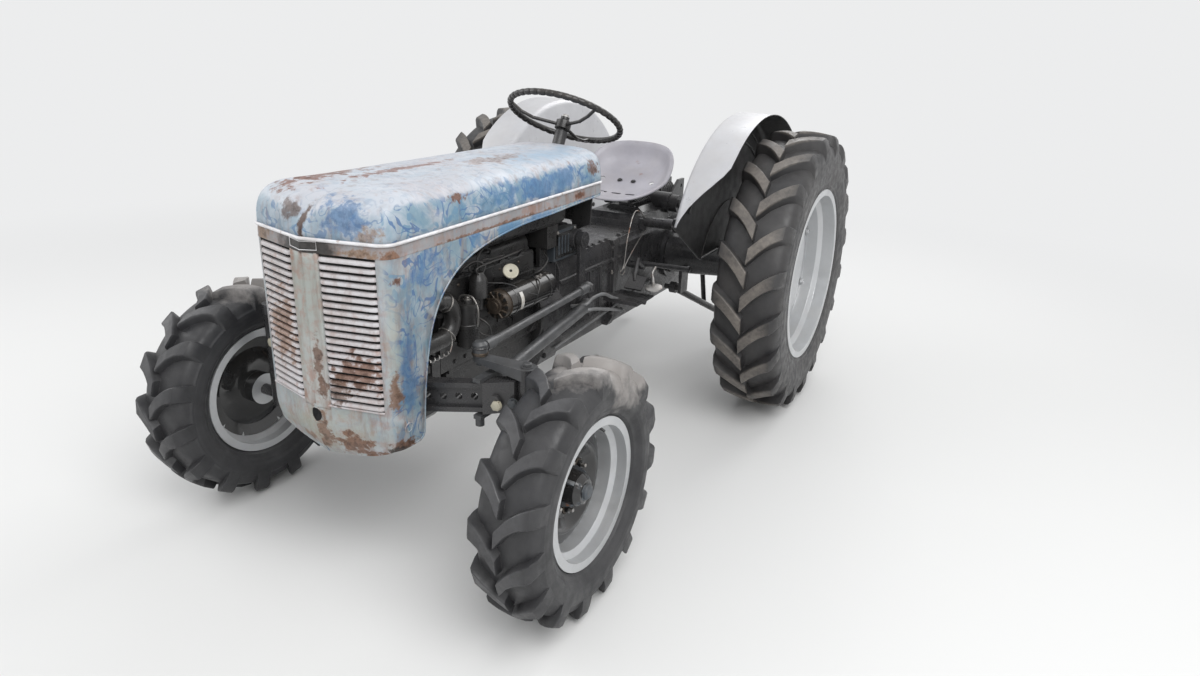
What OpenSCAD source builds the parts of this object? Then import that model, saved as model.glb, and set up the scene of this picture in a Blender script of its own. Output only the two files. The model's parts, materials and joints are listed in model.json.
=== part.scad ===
/* [Stance] */
// Distance from the rear axle to the front spindles
wheelbase = 1778; // [1750:1:1800]
// Distance between the middles of the rear tyres
rear_track = 1440; // [1400:1:1520]
// Distance between the middles of the front tyres
front_track = 1310; // [1290:1:1360]

/* [Rear wheels] */
// Radius of a rear tyre out to its lug tips
rear_tyre_r = 611; // [600:1:630]
// Width of a rear tyre
rear_tyre_w = 280; // [270:1:290]
// Height of a rear lug over the carcass
rear_lug_h = 34; // [28:1:38]
// Lugs on each side of a rear tyre
rear_lugs = 20; // [18:1:22]
// Radius of the seat that a rear tyre sits on
rear_seat_r = 356; // [346:1:366]
// Width of a rear rim between its flanges
rear_seat_w = 240; // [230:1:250]

/* [Front wheels] */
// Radius of a front tyre out to its lug tips
front_tyre_r = 378; // [370:1:390]
// Width of a front tyre
front_tyre_w = 200; // [190:1:206]
// Height of a front lug over the carcass
front_lug_h = 27; // [22:1:30]
// Lugs on each side of a front tyre
front_lugs = 15; // [13:1:16]
// Radius of the seat that a front tyre sits on
front_seat_r = 203; // [198:1:208]
// Width of a front rim between its flanges
front_seat_w = 136; // [130:1:142]

/* [Bonnet] */
// How far the tip of the nose stands ahead of the front axle
nose_ahead = 300; // [288:1:312]
// Half width of the bonnet at its front corners
bonnet_front_half = 244; // [238:1:250]
// Half width of the bonnet at its rear edge
bonnet_rear_half = 211; // [205:1:217]
// How far the bonnet reaches back behind the front axle
bonnet_back = 940; // [928:1:942]
// Height of the trim bead at the nose
bead_z = 1058; // [1050:1:1064]
// Height of the crown at the rear edge
crown_z = 1182; // [1174:1:1186]
// Depth that the nose stands ahead of the front corners
nose_point = 60; // [50:1:66]
// Depth of the crease between the two lobes of the nose
nose_crease = 12; // [6:1:16]
// Thickness of the bonnet's sheet
sheet = 2.5; // [2:0.5:3]
// Height of the band under the trim bead
band_h = 38; // [32:1:44]
// Louvres in each half of the grille
louvres = 21; // [15:1:22]
// Length of a louvre
louvre_len = 160; // [150:1:166]
// Half width of the strip between the two halves of the grille
strip_half = 50; // [44:1:56]
// Height of the ledge under the louvres
ledge_z = 588; // [580:1:596]
// Height of the bottom edge of the apron at the middle
apron_z = 425; // [420:1:440]
// Radius of the hole for the starting crank
crank_hole_r = 17; // [14:1:20]

/* [Steering] */
// Radius of the steering wheel's rim
wheel_r = 216; // [205:1:220]
// Radius of the rim's own section
grip_r = 11; // [9:0.5:12]
// Tilt of the steering wheel from level
wheel_tilt = 28; // [27:0.5:32]
// Distance of a kingpin from the middle
kingpin_x = 505; // [500:1:508]
// Length of a steering arm
steer_arm = 160; // [150:1:165]
// Length of a drop arm
drop_arm = 181; // [170:1:190]

/* [Driver's place] */
// Half width of the seat at its back
seat_half = 200; // [185:1:215]
// Half length of the seat along its slope
seat_half_len = 195; // [180:1:205]
// Slope of the seat down towards the front
seat_slope = 22; // [18:1:26]
// Radius of a fender's crown
fender_r = 684; // [676:1:694]
// Width of a fender's crown
crown_w = 160; // [140:1:165]
// Thickness of a fender's sheet
fender_sheet = 3; // [2:0.5:4]

/* [Rear linkage] */
// Length of a lower link between its balls
link_len = 813; // [780:1:830]
// Angle that the lower links hang at
link_drop = 27; // [24:0.5:28]
// Length of a lift arm
lift_arm = 250; // [240:1:260]
// Radius of the hole in the ball of a lower link
link_ball_bore = 11.2; // [10.9:0.05:11.4]
// Radius of the hole for the top link's pin
top_link_bore = 9.65; // [9.5:0.05:9.8]
// Radius of the power shaft
power_shaft_r = 14.3; // [13:0.1:17.5]

/* [Engine and housings] */
// Half width of the engine block
block_half = 118; // [110:1:124]
// Height of the engine block's top face
block_z = 850; // [844:1:858]
// Half width of the transmission housings
case_half = 150; // [140:1:154]
// Height of the transmission housings' top face
case_z = 778; // [770:1:784]
// Radius of an axle trumpet at its root
trumpet_r = 98; // [90:1:100]
// Radius of the dynamo
dynamo_r = 50; // [44:1:52]
// Radius of the coolant hose
hose_r = 27; // [22:1:29]

/* [Hidden] */
$fn = 48;
// room that a shaft has in its bore, gap between faces that slide, gap at the opened pivots, and gap
// between round surfaces that rest on each other
run_fit = 0.05;
slide_gap = 0.5;
pivot_gap = 1;
rest_gap = 0.3;
half_rear = rear_track / 2;
half_front = front_track / 2;
front_y = -wheelbase;
nose_reach = wheelbase + nose_ahead;
corner_y = -(nose_reach - nose_point);
bonnet_rear_y = front_y + bonnet_back;
link_pivot = [225, -100, 470];
link_end_x = 341;
link_ball_r = 28;
link_reach = link_pivot[1] + link_len * cos(link_drop) + link_ball_r;
// the rear axle lies at y = axle_y, so that the origin is under the middle of the whole length
axle_y = (wheelbase + front_tyre_r - link_reach) / 2;
hinge = [0, corner_y + 45, 535];
hinge_pin_r = 10;
taper = atan((bonnet_front_half - bonnet_rear_half) / (bonnet_rear_y - corner_y));
band_z = bead_z - band_h;
wheel_c = [0, bonnet_rear_y + 88, 1275];
column_n = [0, sin(wheel_tilt), cos(wheel_tilt)];
column_r = 24;
sector = [0, bonnet_rear_y - 87, 855];
sector_r = 16;
ball_x = kingpin_x - steer_arm;
// the engine and the housings, from the front to the back
engine_front_y = front_y + 138;
clutch_y = bonnet_rear_y - 292;
engine_len = clutch_y - engine_front_y;
gearbox_rear_y = -560;
case_rear_y = 230;
footrest_y = clutch_y + 490;
lever_y = sector[1] + 165;
sump_z = 560;
case_low_z = 400;
// the front axle sweeps back and rises towards the kingpins
axle_c = [0, front_y - 130, 556];
sweep = 13.5;
rise = 0.135;
function axle_y_at(x) = axle_c[1] + x * tan(sweep);
function axle_z_at(x) = axle_c[2] + x * rise;
kingpin_r = 19;
pin_top = axle_z_at(kingpin_x) + 50;
arm_z = pin_top + 18;
arm_t = 16;

module at_axle() translate([0, axle_y, 0]) children();
module both() {
    children();
    mirror([1, 0, 0]) children();
}
module on_side(side) mirror([side > 0 ? 0 : 1, 0, 0]) children();
// a round bar of radius r from point p to point q
module bar(p, q, r, r_end = 0) {
    d = q - p;
    translate(p) rotate([0, acos(d[2] / norm(d)), atan2(d[1], d[0])])
        cylinder(r1 = r, r2 = r_end > 0 ? r_end : r, h = norm(d));
}
// round bars through a row of points, with a ball at each bend
module bent_bar(points, r) {
    for (i = [0 : len(points) - 2]) bar(points[i], points[i + 1], r);
    for (i = [1 : len(points) - 2]) translate(points[i]) sphere(r = r * 1.04);
}
// a disc or tube lying along X, its middle at p
module across(p, r, w) translate(p) rotate([0, 90, 0]) cylinder(r = r, h = w, center = true);
// a disc or tube lying along Y, from y0 to y1, its middle at x and z
module along(x, z, r, y0, y1) translate([x, y1, z]) rotate([90, 0, 0]) cylinder(r = r, h = y1 - y0);
module block(low, high) translate(low) cube(high - low);
// an outline given as y and z, standing across X from x0 to x1
module side_plate(points, x0, x1)
    translate([x0, 0, 0]) rotate([90, 0, 90]) linear_extrude(x1 - x0) polygon(points);
// an outline given as x and z, standing across Y from y0 to y1
module front_plate(points, y0, y1)
    translate([0, y1, 0]) rotate([90, 0, 0]) linear_extrude(y1 - y0) polygon(points);
function arc(c, r, a0, a1, n) = [for (i = [0 : n]) let (a = a0 + (a1 - a0) * i / n) c + r * [cos(a), sin(a)]];
// the outline of half a casting as x and z, mirrored to the whole: give the points from the top down
function mirrored(points) = concat(points, [for (i = [len(points) - 1 : -1 : 0]) [-points[i][0], points[i][1]]]);
function ease(t) = let (k = min(1, max(0, t))) k * k * (3 - 2 * k);

// tyres
// columns of a lug's stations: share of the half width, turn back in pitches, drop of the top, drop of the
// foot, and width along the tread
REAR_LUG = [
    [-0.03, 0.00, 0, 12, 50],
    [0.25, 0.24, 0, 12, 44],
    [0.55, 0.44, 4, 18, 42],
    [0.86, 0.58, 13, 37, 46],
    [0.99, 0.64, 62, 66, 44]
];
FRONT_LUG = [
    [-0.03, 0.00, 0, 10, 34],
    [0.25, 0.24, 0, 10, 30],
    [0.55, 0.40, 4, 16, 30],
    [0.86, 0.49, 13, 34, 36],
    [0.99, 0.53, 50, 54, 36]
];
module lug(tyre_r, half_w, lug_h, pitch, table, draft) {
    n = len(table);
    points = [for (row = table)
        let (
            top = tyre_r - row[2],
            foot = tyre_r - lug_h - row[3],
            back = row[1] * pitch,
            half_top = row[4] / 2 / tyre_r * 180 / PI,
            half_foot = (row[4] / 2 + draft) / tyre_r * 180 / PI
        )
        for (corner = [[foot, -half_foot], [top, -half_top], [top, half_top], [foot, half_foot]])
        [row[0] * half_w, -corner[0] * cos(corner[1] - back), -corner[0] * sin(corner[1] - back)]
    ];
    sides = [for (i = [0 : n - 2], k = [0 : 3], half = [0, 1]) half == 0
        ? [i * 4 + 4 + (k + 1) % 4, i * 4 + (k + 1) % 4, i * 4 + k]
        : [i * 4 + 4 + k, i * 4 + 4 + (k + 1) % 4, i * 4 + k]
    ];
    polyhedron(points, concat([[0, 1, 2, 3]], sides, [[4 * n - 1, 4 * n - 2, 4 * n - 3, 4 * n - 4]]));
}
module tyre(tyre_r, w, seat_r, seat_half_w, flange_h, lug_h, lugs, table, draft) {
    pitch = 360 / lugs;
    core = tyre_r - lug_h;
    half = w / 2;
    flange_r = seat_r + flange_h;
    profile = [
        [seat_r, seat_half_w],
        [flange_r + 2, seat_half_w],
        [flange_r + 8, seat_half_w + 8],
        [flange_r + (core - flange_r) * 0.30, half * 0.975],
        [flange_r + (core - flange_r) * 0.50, half],
        [core - 46, half * 0.955],
        [core - 16, half * 0.80],
        [core - 4, half * 0.45],
        [core, 0]
    ];
    union() {
        rotate([0, 90, 0])
            rotate_extrude($fn = 96)
                polygon(concat(profile, [for (i = [len(profile) - 2 : -1 : 0]) [profile[i][0], -profile[i][1]]]));
        for (side = [0, 1], i = [0 : lugs - 1])
            rotate([90 + (i + side / 2) * pitch, 0, 0])
                mirror([side, 0, 0])
                    lug(tyre_r, half, lug_h, pitch, table, draft);
    }
}
rear_flange_h = 20;
front_flange_h = 19;
module rear_tyre(side) color("dimgray") at_axle()
    translate([side * half_rear, 0, rear_tyre_r])
        tyre(rear_tyre_r, rear_tyre_w, rear_seat_r, rear_seat_w / 2, rear_flange_h, rear_lug_h, rear_lugs, REAR_LUG, 12);
module front_tyre(side) color("dimgray") at_axle()
    translate([side * half_front, front_y, front_tyre_r])
        tyre(front_tyre_r, front_tyre_w, front_seat_r, front_seat_w / 2, front_flange_h, front_lug_h, front_lugs,
            FRONT_LUG, 9);
module rear_tyre_left() rear_tyre(1);
module rear_tyre_right() rear_tyre(-1);
module front_tyre_left() front_tyre(1);
module front_tyre_right() front_tyre(-1);

// wheels
// a rim's section: seat with a well in the middle and a flange on each side
module rim(seat_r, seat_w, flange_h, well, t) rotate([0, 90, 0]) rotate_extrude($fn = 96) {
    half = seat_w / 2;
    polygon([
        [seat_r - t, -half - t], [seat_r + flange_h, -half - t], [seat_r + flange_h, -half], [seat_r, -half],
        [seat_r, -half * 0.55], [seat_r - well, -half * 0.40], [seat_r - well, half * 0.40],
        [seat_r, half * 0.55], [seat_r, half], [seat_r + flange_h, half], [seat_r + flange_h, half + t],
        [seat_r - t, half + t], [seat_r - t, half * 0.60], [seat_r - well - t, half * 0.44],
        [seat_r - well - t, -half * 0.44], [seat_r - t, -half * 0.60]
    ]);
}
// nuts in a circle of radius r, their feet at x
module nuts(count, r, x, nut_r, h)
    for (i = [0 : count - 1]) rotate([i * 360 / count, 0, 0])
        translate([x, 0, r]) rotate([0, 90, 0]) cylinder(r = nut_r, h = h, $fn = 6);
rear_hub_x = 600;
rear_well = 16;
rear_rim_t = 8;
brake_drum_r = 182;
half_shaft_r = 32;
module rear_wheel(side) color("silver") at_axle()
    translate([0, 0, rear_tyre_r]) on_side(side) difference() {
        well_r = rear_seat_r - rear_well;
        union() {
            translate([half_rear, 0, 0]) rim(rear_seat_r, rear_seat_w, rear_flange_h, rear_well, rear_rim_t);
            rotate([0, 90, 0]) rotate_extrude($fn = 96) polygon([
                [0, rear_hub_x - 6], [165, rear_hub_x - 6], [210, rear_hub_x + 40],
                [300, half_rear - 10], [well_r - 2, half_rear - 10],
                [well_r - 2, half_rear], [296, half_rear],
                [204, rear_hub_x + 50], [158, rear_hub_x + 4], [82, rear_hub_x + 4], [76, rear_hub_x + 34],
                [52, rear_hub_x + 46], [0, rear_hub_x + 46]
            ]);
            nuts(8, 102, rear_hub_x, 14, 22);
            across([rear_hub_x - 37, 0, 0], brake_drum_r, 66);
        }
        across([rear_hub_x - 41, 0, 0], half_shaft_r + run_fit, 60);
    }
module rear_wheel_left() rear_wheel(1);
module rear_wheel_right() rear_wheel(-1);
stub_r = 19;
front_well = 18;
front_rim_t = 6;
front_hub_in = half_front - 70;
stub_end = front_hub_in + 85;
module front_wheel(side) color("silver") at_axle()
    translate([0, front_y, front_tyre_r]) on_side(side) difference() {
        well_r = front_seat_r - front_well - 2;
        union() {
            translate([half_front, 0, 0]) rim(front_seat_r, front_seat_w, front_flange_h, front_well, front_rim_t);
            rotate([0, 90, 0]) rotate_extrude($fn = 96) polygon(concat(
                [[0, front_hub_in], [55, front_hub_in], [55, half_front - 30], [104, half_front - 30],
                    [140, half_front - 14], [well_r, half_front - 26], [well_r, half_front - 16]],
                [[150, half_front + 2]],
                arc([128, half_front - 2], 12, 30, 150, 5),
                [[98, half_front - 20], [52, half_front - 20], [48, half_front + 30],
                    [34, half_front + 46], [0, half_front + 50]]
            ));
            nuts(6, 76, half_front - 22, 12, 18);
        }
        across([(front_hub_in + stub_end) / 2 + 2, 0, 0], stub_r + run_fit, stub_end - front_hub_in + 6);
    }
module front_wheel_left() front_wheel(1);
module front_wheel_right() front_wheel(-1);

// front axle
// columns of the beam's ends: distance from the middle, and half height
BEAM = [[0, 48], [397, 44]];
beam_half = 22;
web_half = 30;
flange_depth = 13;
axle_pin_r = 20;
// a slice of the beam at station s, half h high, from depth a to depth b across it
module beam_slice(x, half_h, a, b)
    block([x, axle_y_at(x) + a, axle_z_at(x) - half_h], [x + 1, axle_y_at(x) + b, axle_z_at(x) + half_h]);
module front_axle_beam() color("black") at_axle() both()
    difference() {
        hull() for (s = BEAM) beam_slice(s[0], s[1], -beam_half, beam_half);
        hull() for (x = [115, 420]) beam_slice(x, web_half, -beam_half - 1, -beam_half + flange_depth);
        along(0, axle_c[2], axle_pin_r + rest_gap, axle_c[1] - 60, axle_c[1] + 60);
        for (i = [0 : 4])
            translate([172 + 47 * i, axle_y_at(172 + 47 * i), axle_z_at(172 + 47 * i)])
                rotate([90, 0, sweep]) cylinder(r = 11, h = 100, center = true);
    }
module axle_extensions() color("black") at_axle() both() {
    difference() {
        union() {
            hull() {
                beam_slice(398, 48, -30, 30);
                block([kingpin_x - 20, axle_y_at(kingpin_x) - 28, pin_top - 92],
                    [kingpin_x - 19, axle_y_at(kingpin_x) + 20, pin_top - 2]);
            }
            translate([kingpin_x, front_y, pin_top - 200]) cylinder(r = 28, h = 200);
        }
        translate([kingpin_x, front_y, pin_top - 201]) cylinder(r = kingpin_r + run_fit, h = 202);
    }
    // bolt that clamps the extension to the beam
    translate([436, axle_y_at(436) - 27, axle_z_at(436)]) rotate([90, 0, sweep]) cylinder(r = 15, h = 12, $fn = 6);
}
module knuckle(side) color("black") at_axle() on_side(side) {
    foot_z = front_tyre_r - 34;
    translate([kingpin_x, front_y, foot_z]) cylinder(r = kingpin_r, h = arm_z + 10 - foot_z);
    translate([kingpin_x, front_y, foot_z]) cylinder(r = 30, h = pin_top - 200 - slide_gap - foot_z);
    across([(kingpin_x + stub_end) / 2, front_y, front_tyre_r], stub_r, stub_end - kingpin_x);
    hull() {
        translate([kingpin_x, front_y, pin_top + slide_gap]) cylinder(r = 30, h = arm_z + arm_t - pin_top - slide_gap);
        translate([ball_x, front_y, arm_z]) cylinder(r = 20, h = arm_t);
    }
}
module knuckle_left() knuckle(1);
module knuckle_right() knuckle(-1);
rod_root = [case_half + 30, clutch_y + 264, 578];
rod_clamp_x = [372, 397];
module radius_rods() color("dimgray") at_axle() both() {
    back = axle_y_at(rod_clamp_x[1]) + beam_half + rest_gap;
    bar(rod_root, [384, back + 38, 636], 24, 19);
    translate(rod_root) sphere(r = 30);
    block([rod_clamp_x[0], back, axle_z_at(384) - 62], [rod_clamp_x[1], back + 48, axle_z_at(384) + 62]);
    // clamp over and under the beam, with its bolt
    side_plate([
        [back, axle_z_at(384) + 62], [back, axle_z_at(384) + 50], [back - 60, axle_z_at(384) + 50],
        [back - 60, axle_z_at(384) + 62]], rod_clamp_x[0], rod_clamp_x[1]);
    side_plate([
        [back, axle_z_at(384) - 62], [back, axle_z_at(384) - 50], [back - 60, axle_z_at(384) - 50],
        [back - 60, axle_z_at(384) - 62]], rod_clamp_x[0], rod_clamp_x[1]);
    translate([384, back - 46, axle_z_at(384) - 84]) cylinder(r = 13, h = 24);
}
beam_room = [40, 150];
shelf_z = 662;
shelf_half = 205;
module front_bolster() color("black") at_axle() difference() {
    top_z = shelf_z - 22;
    hang_x = 176;
    union() {
        difference() {
            front_plate(mirrored([[150, top_z], [150, 470], [120, 440]]), front_y - 110, front_y + 58);
            block([-400, axle_c[1] - beam_room[0], 490], [400, axle_c[1] + beam_room[1], top_z]);
        }
        both() block([hang_x, hinge[1] - 22, hinge[2] - 22], [hang_x + 24, hinge[1] + 22, shelf_z]);
        block([-shelf_half, hinge[1] + 3, top_z], [shelf_half, front_y - 52, shelf_z]);
        block([-150, front_y - 52, top_z], [150, front_y - 20, shelf_z]);
        along(0, axle_c[2], axle_pin_r, axle_c[1] - 30, front_y - 20);
    }
    both() across([hang_x + 12, hinge[1], hinge[2]], hinge_pin_r + run_fit, 80);
    // room for the crankshaft's pulley
    block([-80, axle_c[1] + beam_room[1] - 1, 542], [80, front_y + 59, top_z + 1]);
}

// steering gear
module steering_box() color("black") at_axle() {
    front_plate(mirrored([[62, 905], [90, 880], [90, case_z]]), sector[1] - 115, sector[1] + 105);
    across(sector, 38, 340);
    across(sector, sector_r, 2 * 206);
    both() across([97, sector[1], sector[2] - 8], 62, 14);
    bar(wheel_c - 480 * column_n, wheel_c - 60 * column_n, column_r);
    bar(wheel_c - 410 * column_n, wheel_c - 380 * column_n, column_r + 12);
    bar(wheel_c - 70 * column_n, wheel_c - 12 * column_n, 11);
}
module steering_wheel() color("black") at_axle() translate(wheel_c) rotate([-wheel_tilt, 0, 0]) difference() {
    union() {
        rotate_extrude($fn = 96) translate([wheel_r, 0]) circle(r = grip_r, $fn = 16);
        translate([0, 0, -50]) cylinder(r = 30, h = 30);
        translate([0, 0, -20]) cylinder(r1 = 30, r2 = 17, h = 8);
        translate([0, 0, -12]) cylinder(r = 17, h = 10);
        for (a = [90, 210, 330]) rotate([0, 0, a])
            bent_bar([[22, 0, -34], [120, 0, -36], [wheel_r - 46, 0, -24], [wheel_r - 2, 0, -1]], 6.5);
    }
    translate([0, 0, -51]) cylinder(r = 11 + run_fit, h = 40);
}
module drop_arm_of(side) color("black") at_axle() on_side(side)
    translate([0, sector[1], sector[2]]) difference() {
        union() {
            across([188, 0, 0], 30, 26);
            hull() {
                across([184, 0, 0], 24, 15);
                across([184, 0, -drop_arm], 19, 15);
            }
        }
        across([188, 0, 0], sector_r + run_fit, 40);
    }
module drop_arm_left() drop_arm_of(1);
module drop_arm_right() drop_arm_of(-1);
link_rear_x = 216;
module drag_link(side) color("dimgray") at_axle() on_side(side) {
    front = [ball_x, front_y, arm_z + arm_t + pivot_gap + 20];
    rear = [link_rear_x, sector[1], sector[2] - drop_arm];
    run = front - rear;
    bar(rear, front, 13);
    bar(rear + run * 0.03, rear + run * 0.10, 18);
    bar(rear + run * 0.91, rear + run * 0.97, 18);
    across([link_rear_x - 11.75, rear[1], rear[2]], 11, 24.5);
    translate(rear) sphere(r = 22);
    translate(front - [0, 0, 20]) cylinder(r = 22, h = 34);
    translate(front + [0, 0, 14]) cylinder(r1 = 22, r2 = 14, h = 8);
}
module drag_link_left() drag_link(1);
module drag_link_right() drag_link(-1);

// engine and what hangs on it
fan_z = 860;
pulley_y = engine_front_y - 135;
head_half = block_half - 8;
head_z = block_z - 70;
cover_z = block_z + 55;
hose_c = [150, engine_front_y - 75, 752];
hose_bend = 60;
hose_low = hose_c[2] - hose_bend;
module engine_block() color("dimgray") at_axle() {
    // crankcase with its flange for the sump, and plates over the pushrods
    front_plate(mirrored([[block_half - 6, head_z], [block_half - 6, sump_z + 60], [block_half, sump_z + 44],
        [block_half, sump_z]]), engine_front_y, clutch_y);
    cover_len = engine_len * 0.39;
    for (y = [engine_front_y + 40, engine_front_y + 70 + cover_len]) both()
        block([block_half - 6, y, sump_z + 84], [block_half, y + cover_len, head_z - 30]);
    // cylinder head and rounded valve cover
    front_plate(mirrored([[head_half - 6, block_z], [head_half, block_z - 8], [head_half, head_z]]),
        engine_front_y - 10, clutch_y - 10);
    front_plate(mirrored(concat(arc([62, cover_z - 30], 30, 90, 0, 5), [[92, block_z + 10], [97, block_z + 10], [97, block_z]])),
        engine_front_y, clutch_y - 20);
    along(0, cover_z - 1, 24, engine_front_y + 70, engine_front_y + 72);
    // timing cover and crankshaft boss
    front_plate(mirrored([[52, 800], [block_half, 740], [block_half, sump_z]]), engine_front_y - 40, engine_front_y);
    front_plate(mirrored([[84, 672], [108, 640], [108, 545]]), engine_front_y - 80, engine_front_y - 40);
    // flange to the clutch housing
    front_plate(mirrored([[120, case_z], [120, 680], [case_half, 640], [case_half, sump_z], [120, 470]]), clutch_y - 18, clutch_y);
    // casting web from the crankcase down to the flange
    both() side_plate([[clutch_y - 18, sump_z + 40], [clutch_y - 70, sump_z], [clutch_y - 18, sump_z]], block_half, block_half + 16);
}
module engine_sump() color("dimgray") at_axle() {
    front_plate(mirrored([[block_half, sump_z], [block_half, sump_z - 14], [block_half - 12, sump_z - 14],
        [block_half - 16, 450], [block_half - 34, 430]]), engine_front_y, clutch_y - 18);
}
filter_r = 36;
filter_y = engine_front_y + 55;
spark_y = engine_front_y + 120;
module engine_ancillaries() color("dimgray") at_axle() {
    // oil filter bowl with its cap
    translate([block_half + filter_r, filter_y, 640]) cylinder(r = filter_r, h = 128);
    translate([block_half + filter_r, filter_y, 768]) cylinder(r = filter_r + 3, h = 12);
    translate([block_half + filter_r, filter_y, 630]) cylinder(r1 = 20, r2 = filter_r, h = 10);
    // ignition drum and its dome
    translate([block_half + 30, spark_y, 780]) cylinder(r = 30, h = 56);
    translate([block_half + 30, spark_y, 836]) cylinder(r1 = 30, r2 = 16, h = 26);
    translate([block_half + 30, spark_y, 740]) cylinder(r = 16, h = 40);
    block([block_half - 6, spark_y - 14, head_z - 28], [block_half + 20, spark_y + 14, head_z - 8]);
    // water hose, from the radiator's foot round to the pump
    translate(hose_c) rotate([0, 90, 0]) rotate_extrude(angle = 180) translate([hose_bend, 0]) circle(r = hose_r, $fn = 24);
    along(hose_c[0], hose_low, hose_r, radiator_rear_y, hose_c[1]);
    translate([hose_c[0], hose_c[1], hose_c[2] + hose_bend]) sphere(r = hose_r * 1.02, $fn = 32);
    bar([hose_c[0], hose_c[1], hose_c[2] + hose_bend], [pump_half, hose_c[1], hose_c[2] + hose_bend], 22);
}
module exhaust_pipe() color("sienna") at_axle() {
    pipe_x = -block_half - 27;
    port_z = block_z - 20;
    low = [-block_half - 56, clutch_y - 60, 420];
    bar([pipe_x, engine_front_y + 40, port_z], [pipe_x, clutch_y - 50, port_z], 26);
    for (i = [0 : 3]) let (y = engine_front_y + engine_len * (0.137 + 0.22 * i))
        block([pipe_x, y - 20, port_z - 20], [-head_half, y + 20, port_z + 20]);
    bar([pipe_x - 8, clutch_y - 60, port_z], low, 20);
    translate(low) sphere(r = 20.8);
    bar(low, [-block_half - 60, 200, 380], 20);
}
module dynamo() color("black") at_axle() {
    x = block_half + 54;
    z = 738;
    front = engine_front_y + 186;
    along(x, z, dynamo_r, front + 22, clutch_y - 46);
    along(x, z, dynamo_r - 4, front, clutch_y - 24);
    along(x, z, 16, front - 20, front);
    along(x, z, 26, front - 16, front - 6);
    // cradle on the crankcase
    block([block_half, front + 16, z - 13], [block_half + 30, front + 66, z + 7]);
    block([block_half, clutch_y - 120, z - 13], [block_half + 30, clutch_y - 70, z + 7]);
}
pump_half = 45;
module fan_and_belt() color("gray") at_axle() {
    // water pump, fan shaft and pulleys
    front_plate(mirrored([[30, 890], [pump_half, 872], [pump_half, 780], [30, 770]]), engine_front_y - 85, engine_front_y - 40);
    front_plate(mirrored([[30, 890], [pump_half, 872], [pump_half, 802]]), engine_front_y - 40, engine_front_y - 10);
    along(0, fan_z, 24, pulley_y - 25, engine_front_y - 80);
    along(0, fan_z, 58, pulley_y, pulley_y + 25);
    along(0, 620, 24, pulley_y - 10, engine_front_y - 80);
    along(0, 620, 66, pulley_y, pulley_y + 25);
    translate([0, pulley_y + 19, 0]) rotate([90, 0, 0]) linear_extrude(13) difference() {
        hull() for (p = [[fan_z, 63], [620, 71]]) translate([0, p[0]]) circle(r = p[1]);
        hull() for (p = [[fan_z, 57], [620, 65]]) translate([0, p[0]]) circle(r = p[1]);
    }
    for (a = [45 : 90 : 315]) translate([0, pulley_y - 11, fan_z]) rotate([0, a, 0]) rotate([0, 0, 24])
        block([-32, -1.5, 15], [32, 1.5, 170]);
}
radiator_front_y = corner_y + 58;
radiator_rear_y = corner_y + 138;
module radiator() color("black") at_axle() {
    core = [radiator_front_y + 5, radiator_rear_y - 5];
    block([-shelf_half + 5, core[0], shelf_z + 60], [shelf_half - 5, core[1], 1030]);
    side_plate([
        [radiator_front_y, 1030], [radiator_front_y, 1085], [radiator_front_y + 16, 1100],
        [radiator_rear_y - 16, 1100], [radiator_rear_y, 1085], [radiator_rear_y, 1030]], -shelf_half, shelf_half);
    block([-shelf_half, radiator_front_y, shelf_z], [shelf_half, radiator_rear_y, shelf_z + 60]);
    translate([0, (core[0] + core[1]) / 2, 1100]) cylinder(r = 34, h = 26);
    // hose neck towards the engine
    along(0, 1062, 24, radiator_rear_y, radiator_rear_y + 60);
}
tank_front_y = engine_front_y + 140;
tank_rear_y = bonnet_rear_y - 182;
tank_low_z = 930;
module fuel_tank() color("black") at_axle()
    front_plate(mirrored(concat(arc([130, 1080], 40, 90, 0, 4), [[170, tank_low_z + 20], [150, tank_low_z]])), tank_front_y, tank_rear_y);
module battery_box() color("black") at_axle() {
    block([-150, sector[1] - 185, case_z + 70], [150, sector[1] - 115, tank_low_z]);
    both() block([100, sector[1] - 185, case_z], [118, sector[1] - 115, case_z + 70]);
}
module dash_panel() color("black") at_axle() difference() {
    front_plate(mirrored([[160, crown_z - 42], [192, crown_z - 72], [198, 1060], [190, 905], [140, 880], [140, case_z],
        [112, case_z], [112, 912]]), bonnet_rear_y - 38, bonnet_rear_y - 30);
    bar(wheel_c - 520 * column_n, wheel_c, column_r + 2 * rest_gap);
}
waist_half = case_half - 14;
module gearbox_housing() color("black") at_axle() {
    rod_y = rod_root[1];
    // bell housing, waist and rear flange
    front_plate(mirrored([[118, case_z], [118, 680], [case_half, 640], [case_half, 470], [120, case_low_z]]), clutch_y, clutch_y + 130);
    front_plate(mirrored([[118, case_z], [waist_half, 740], [waist_half, 480], [104, case_low_z]]), clutch_y + 130, gearbox_rear_y - 22);
    front_plate(mirrored([[140, case_z], [case_half, 760], [case_half, 440], [126, case_low_z]]), gearbox_rear_y - 22, gearbox_rear_y);
    // bosses for the radius rods and ribs along the sides
    both() {
        across([(waist_half + case_half) / 2, rod_y, rod_root[2]], 44, case_half - waist_half);
        block([waist_half - 20, clutch_y + 130, 690], [waist_half + 8, gearbox_rear_y - 22, 704]);
        for (y = [rod_y + 90, (rod_y + 90 + gearbox_rear_y - 40) / 2])
            block([waist_half - 20, y, 500], [waist_half + 8, y + 12, 690]);
    }
}
brake_x = 500;
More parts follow.
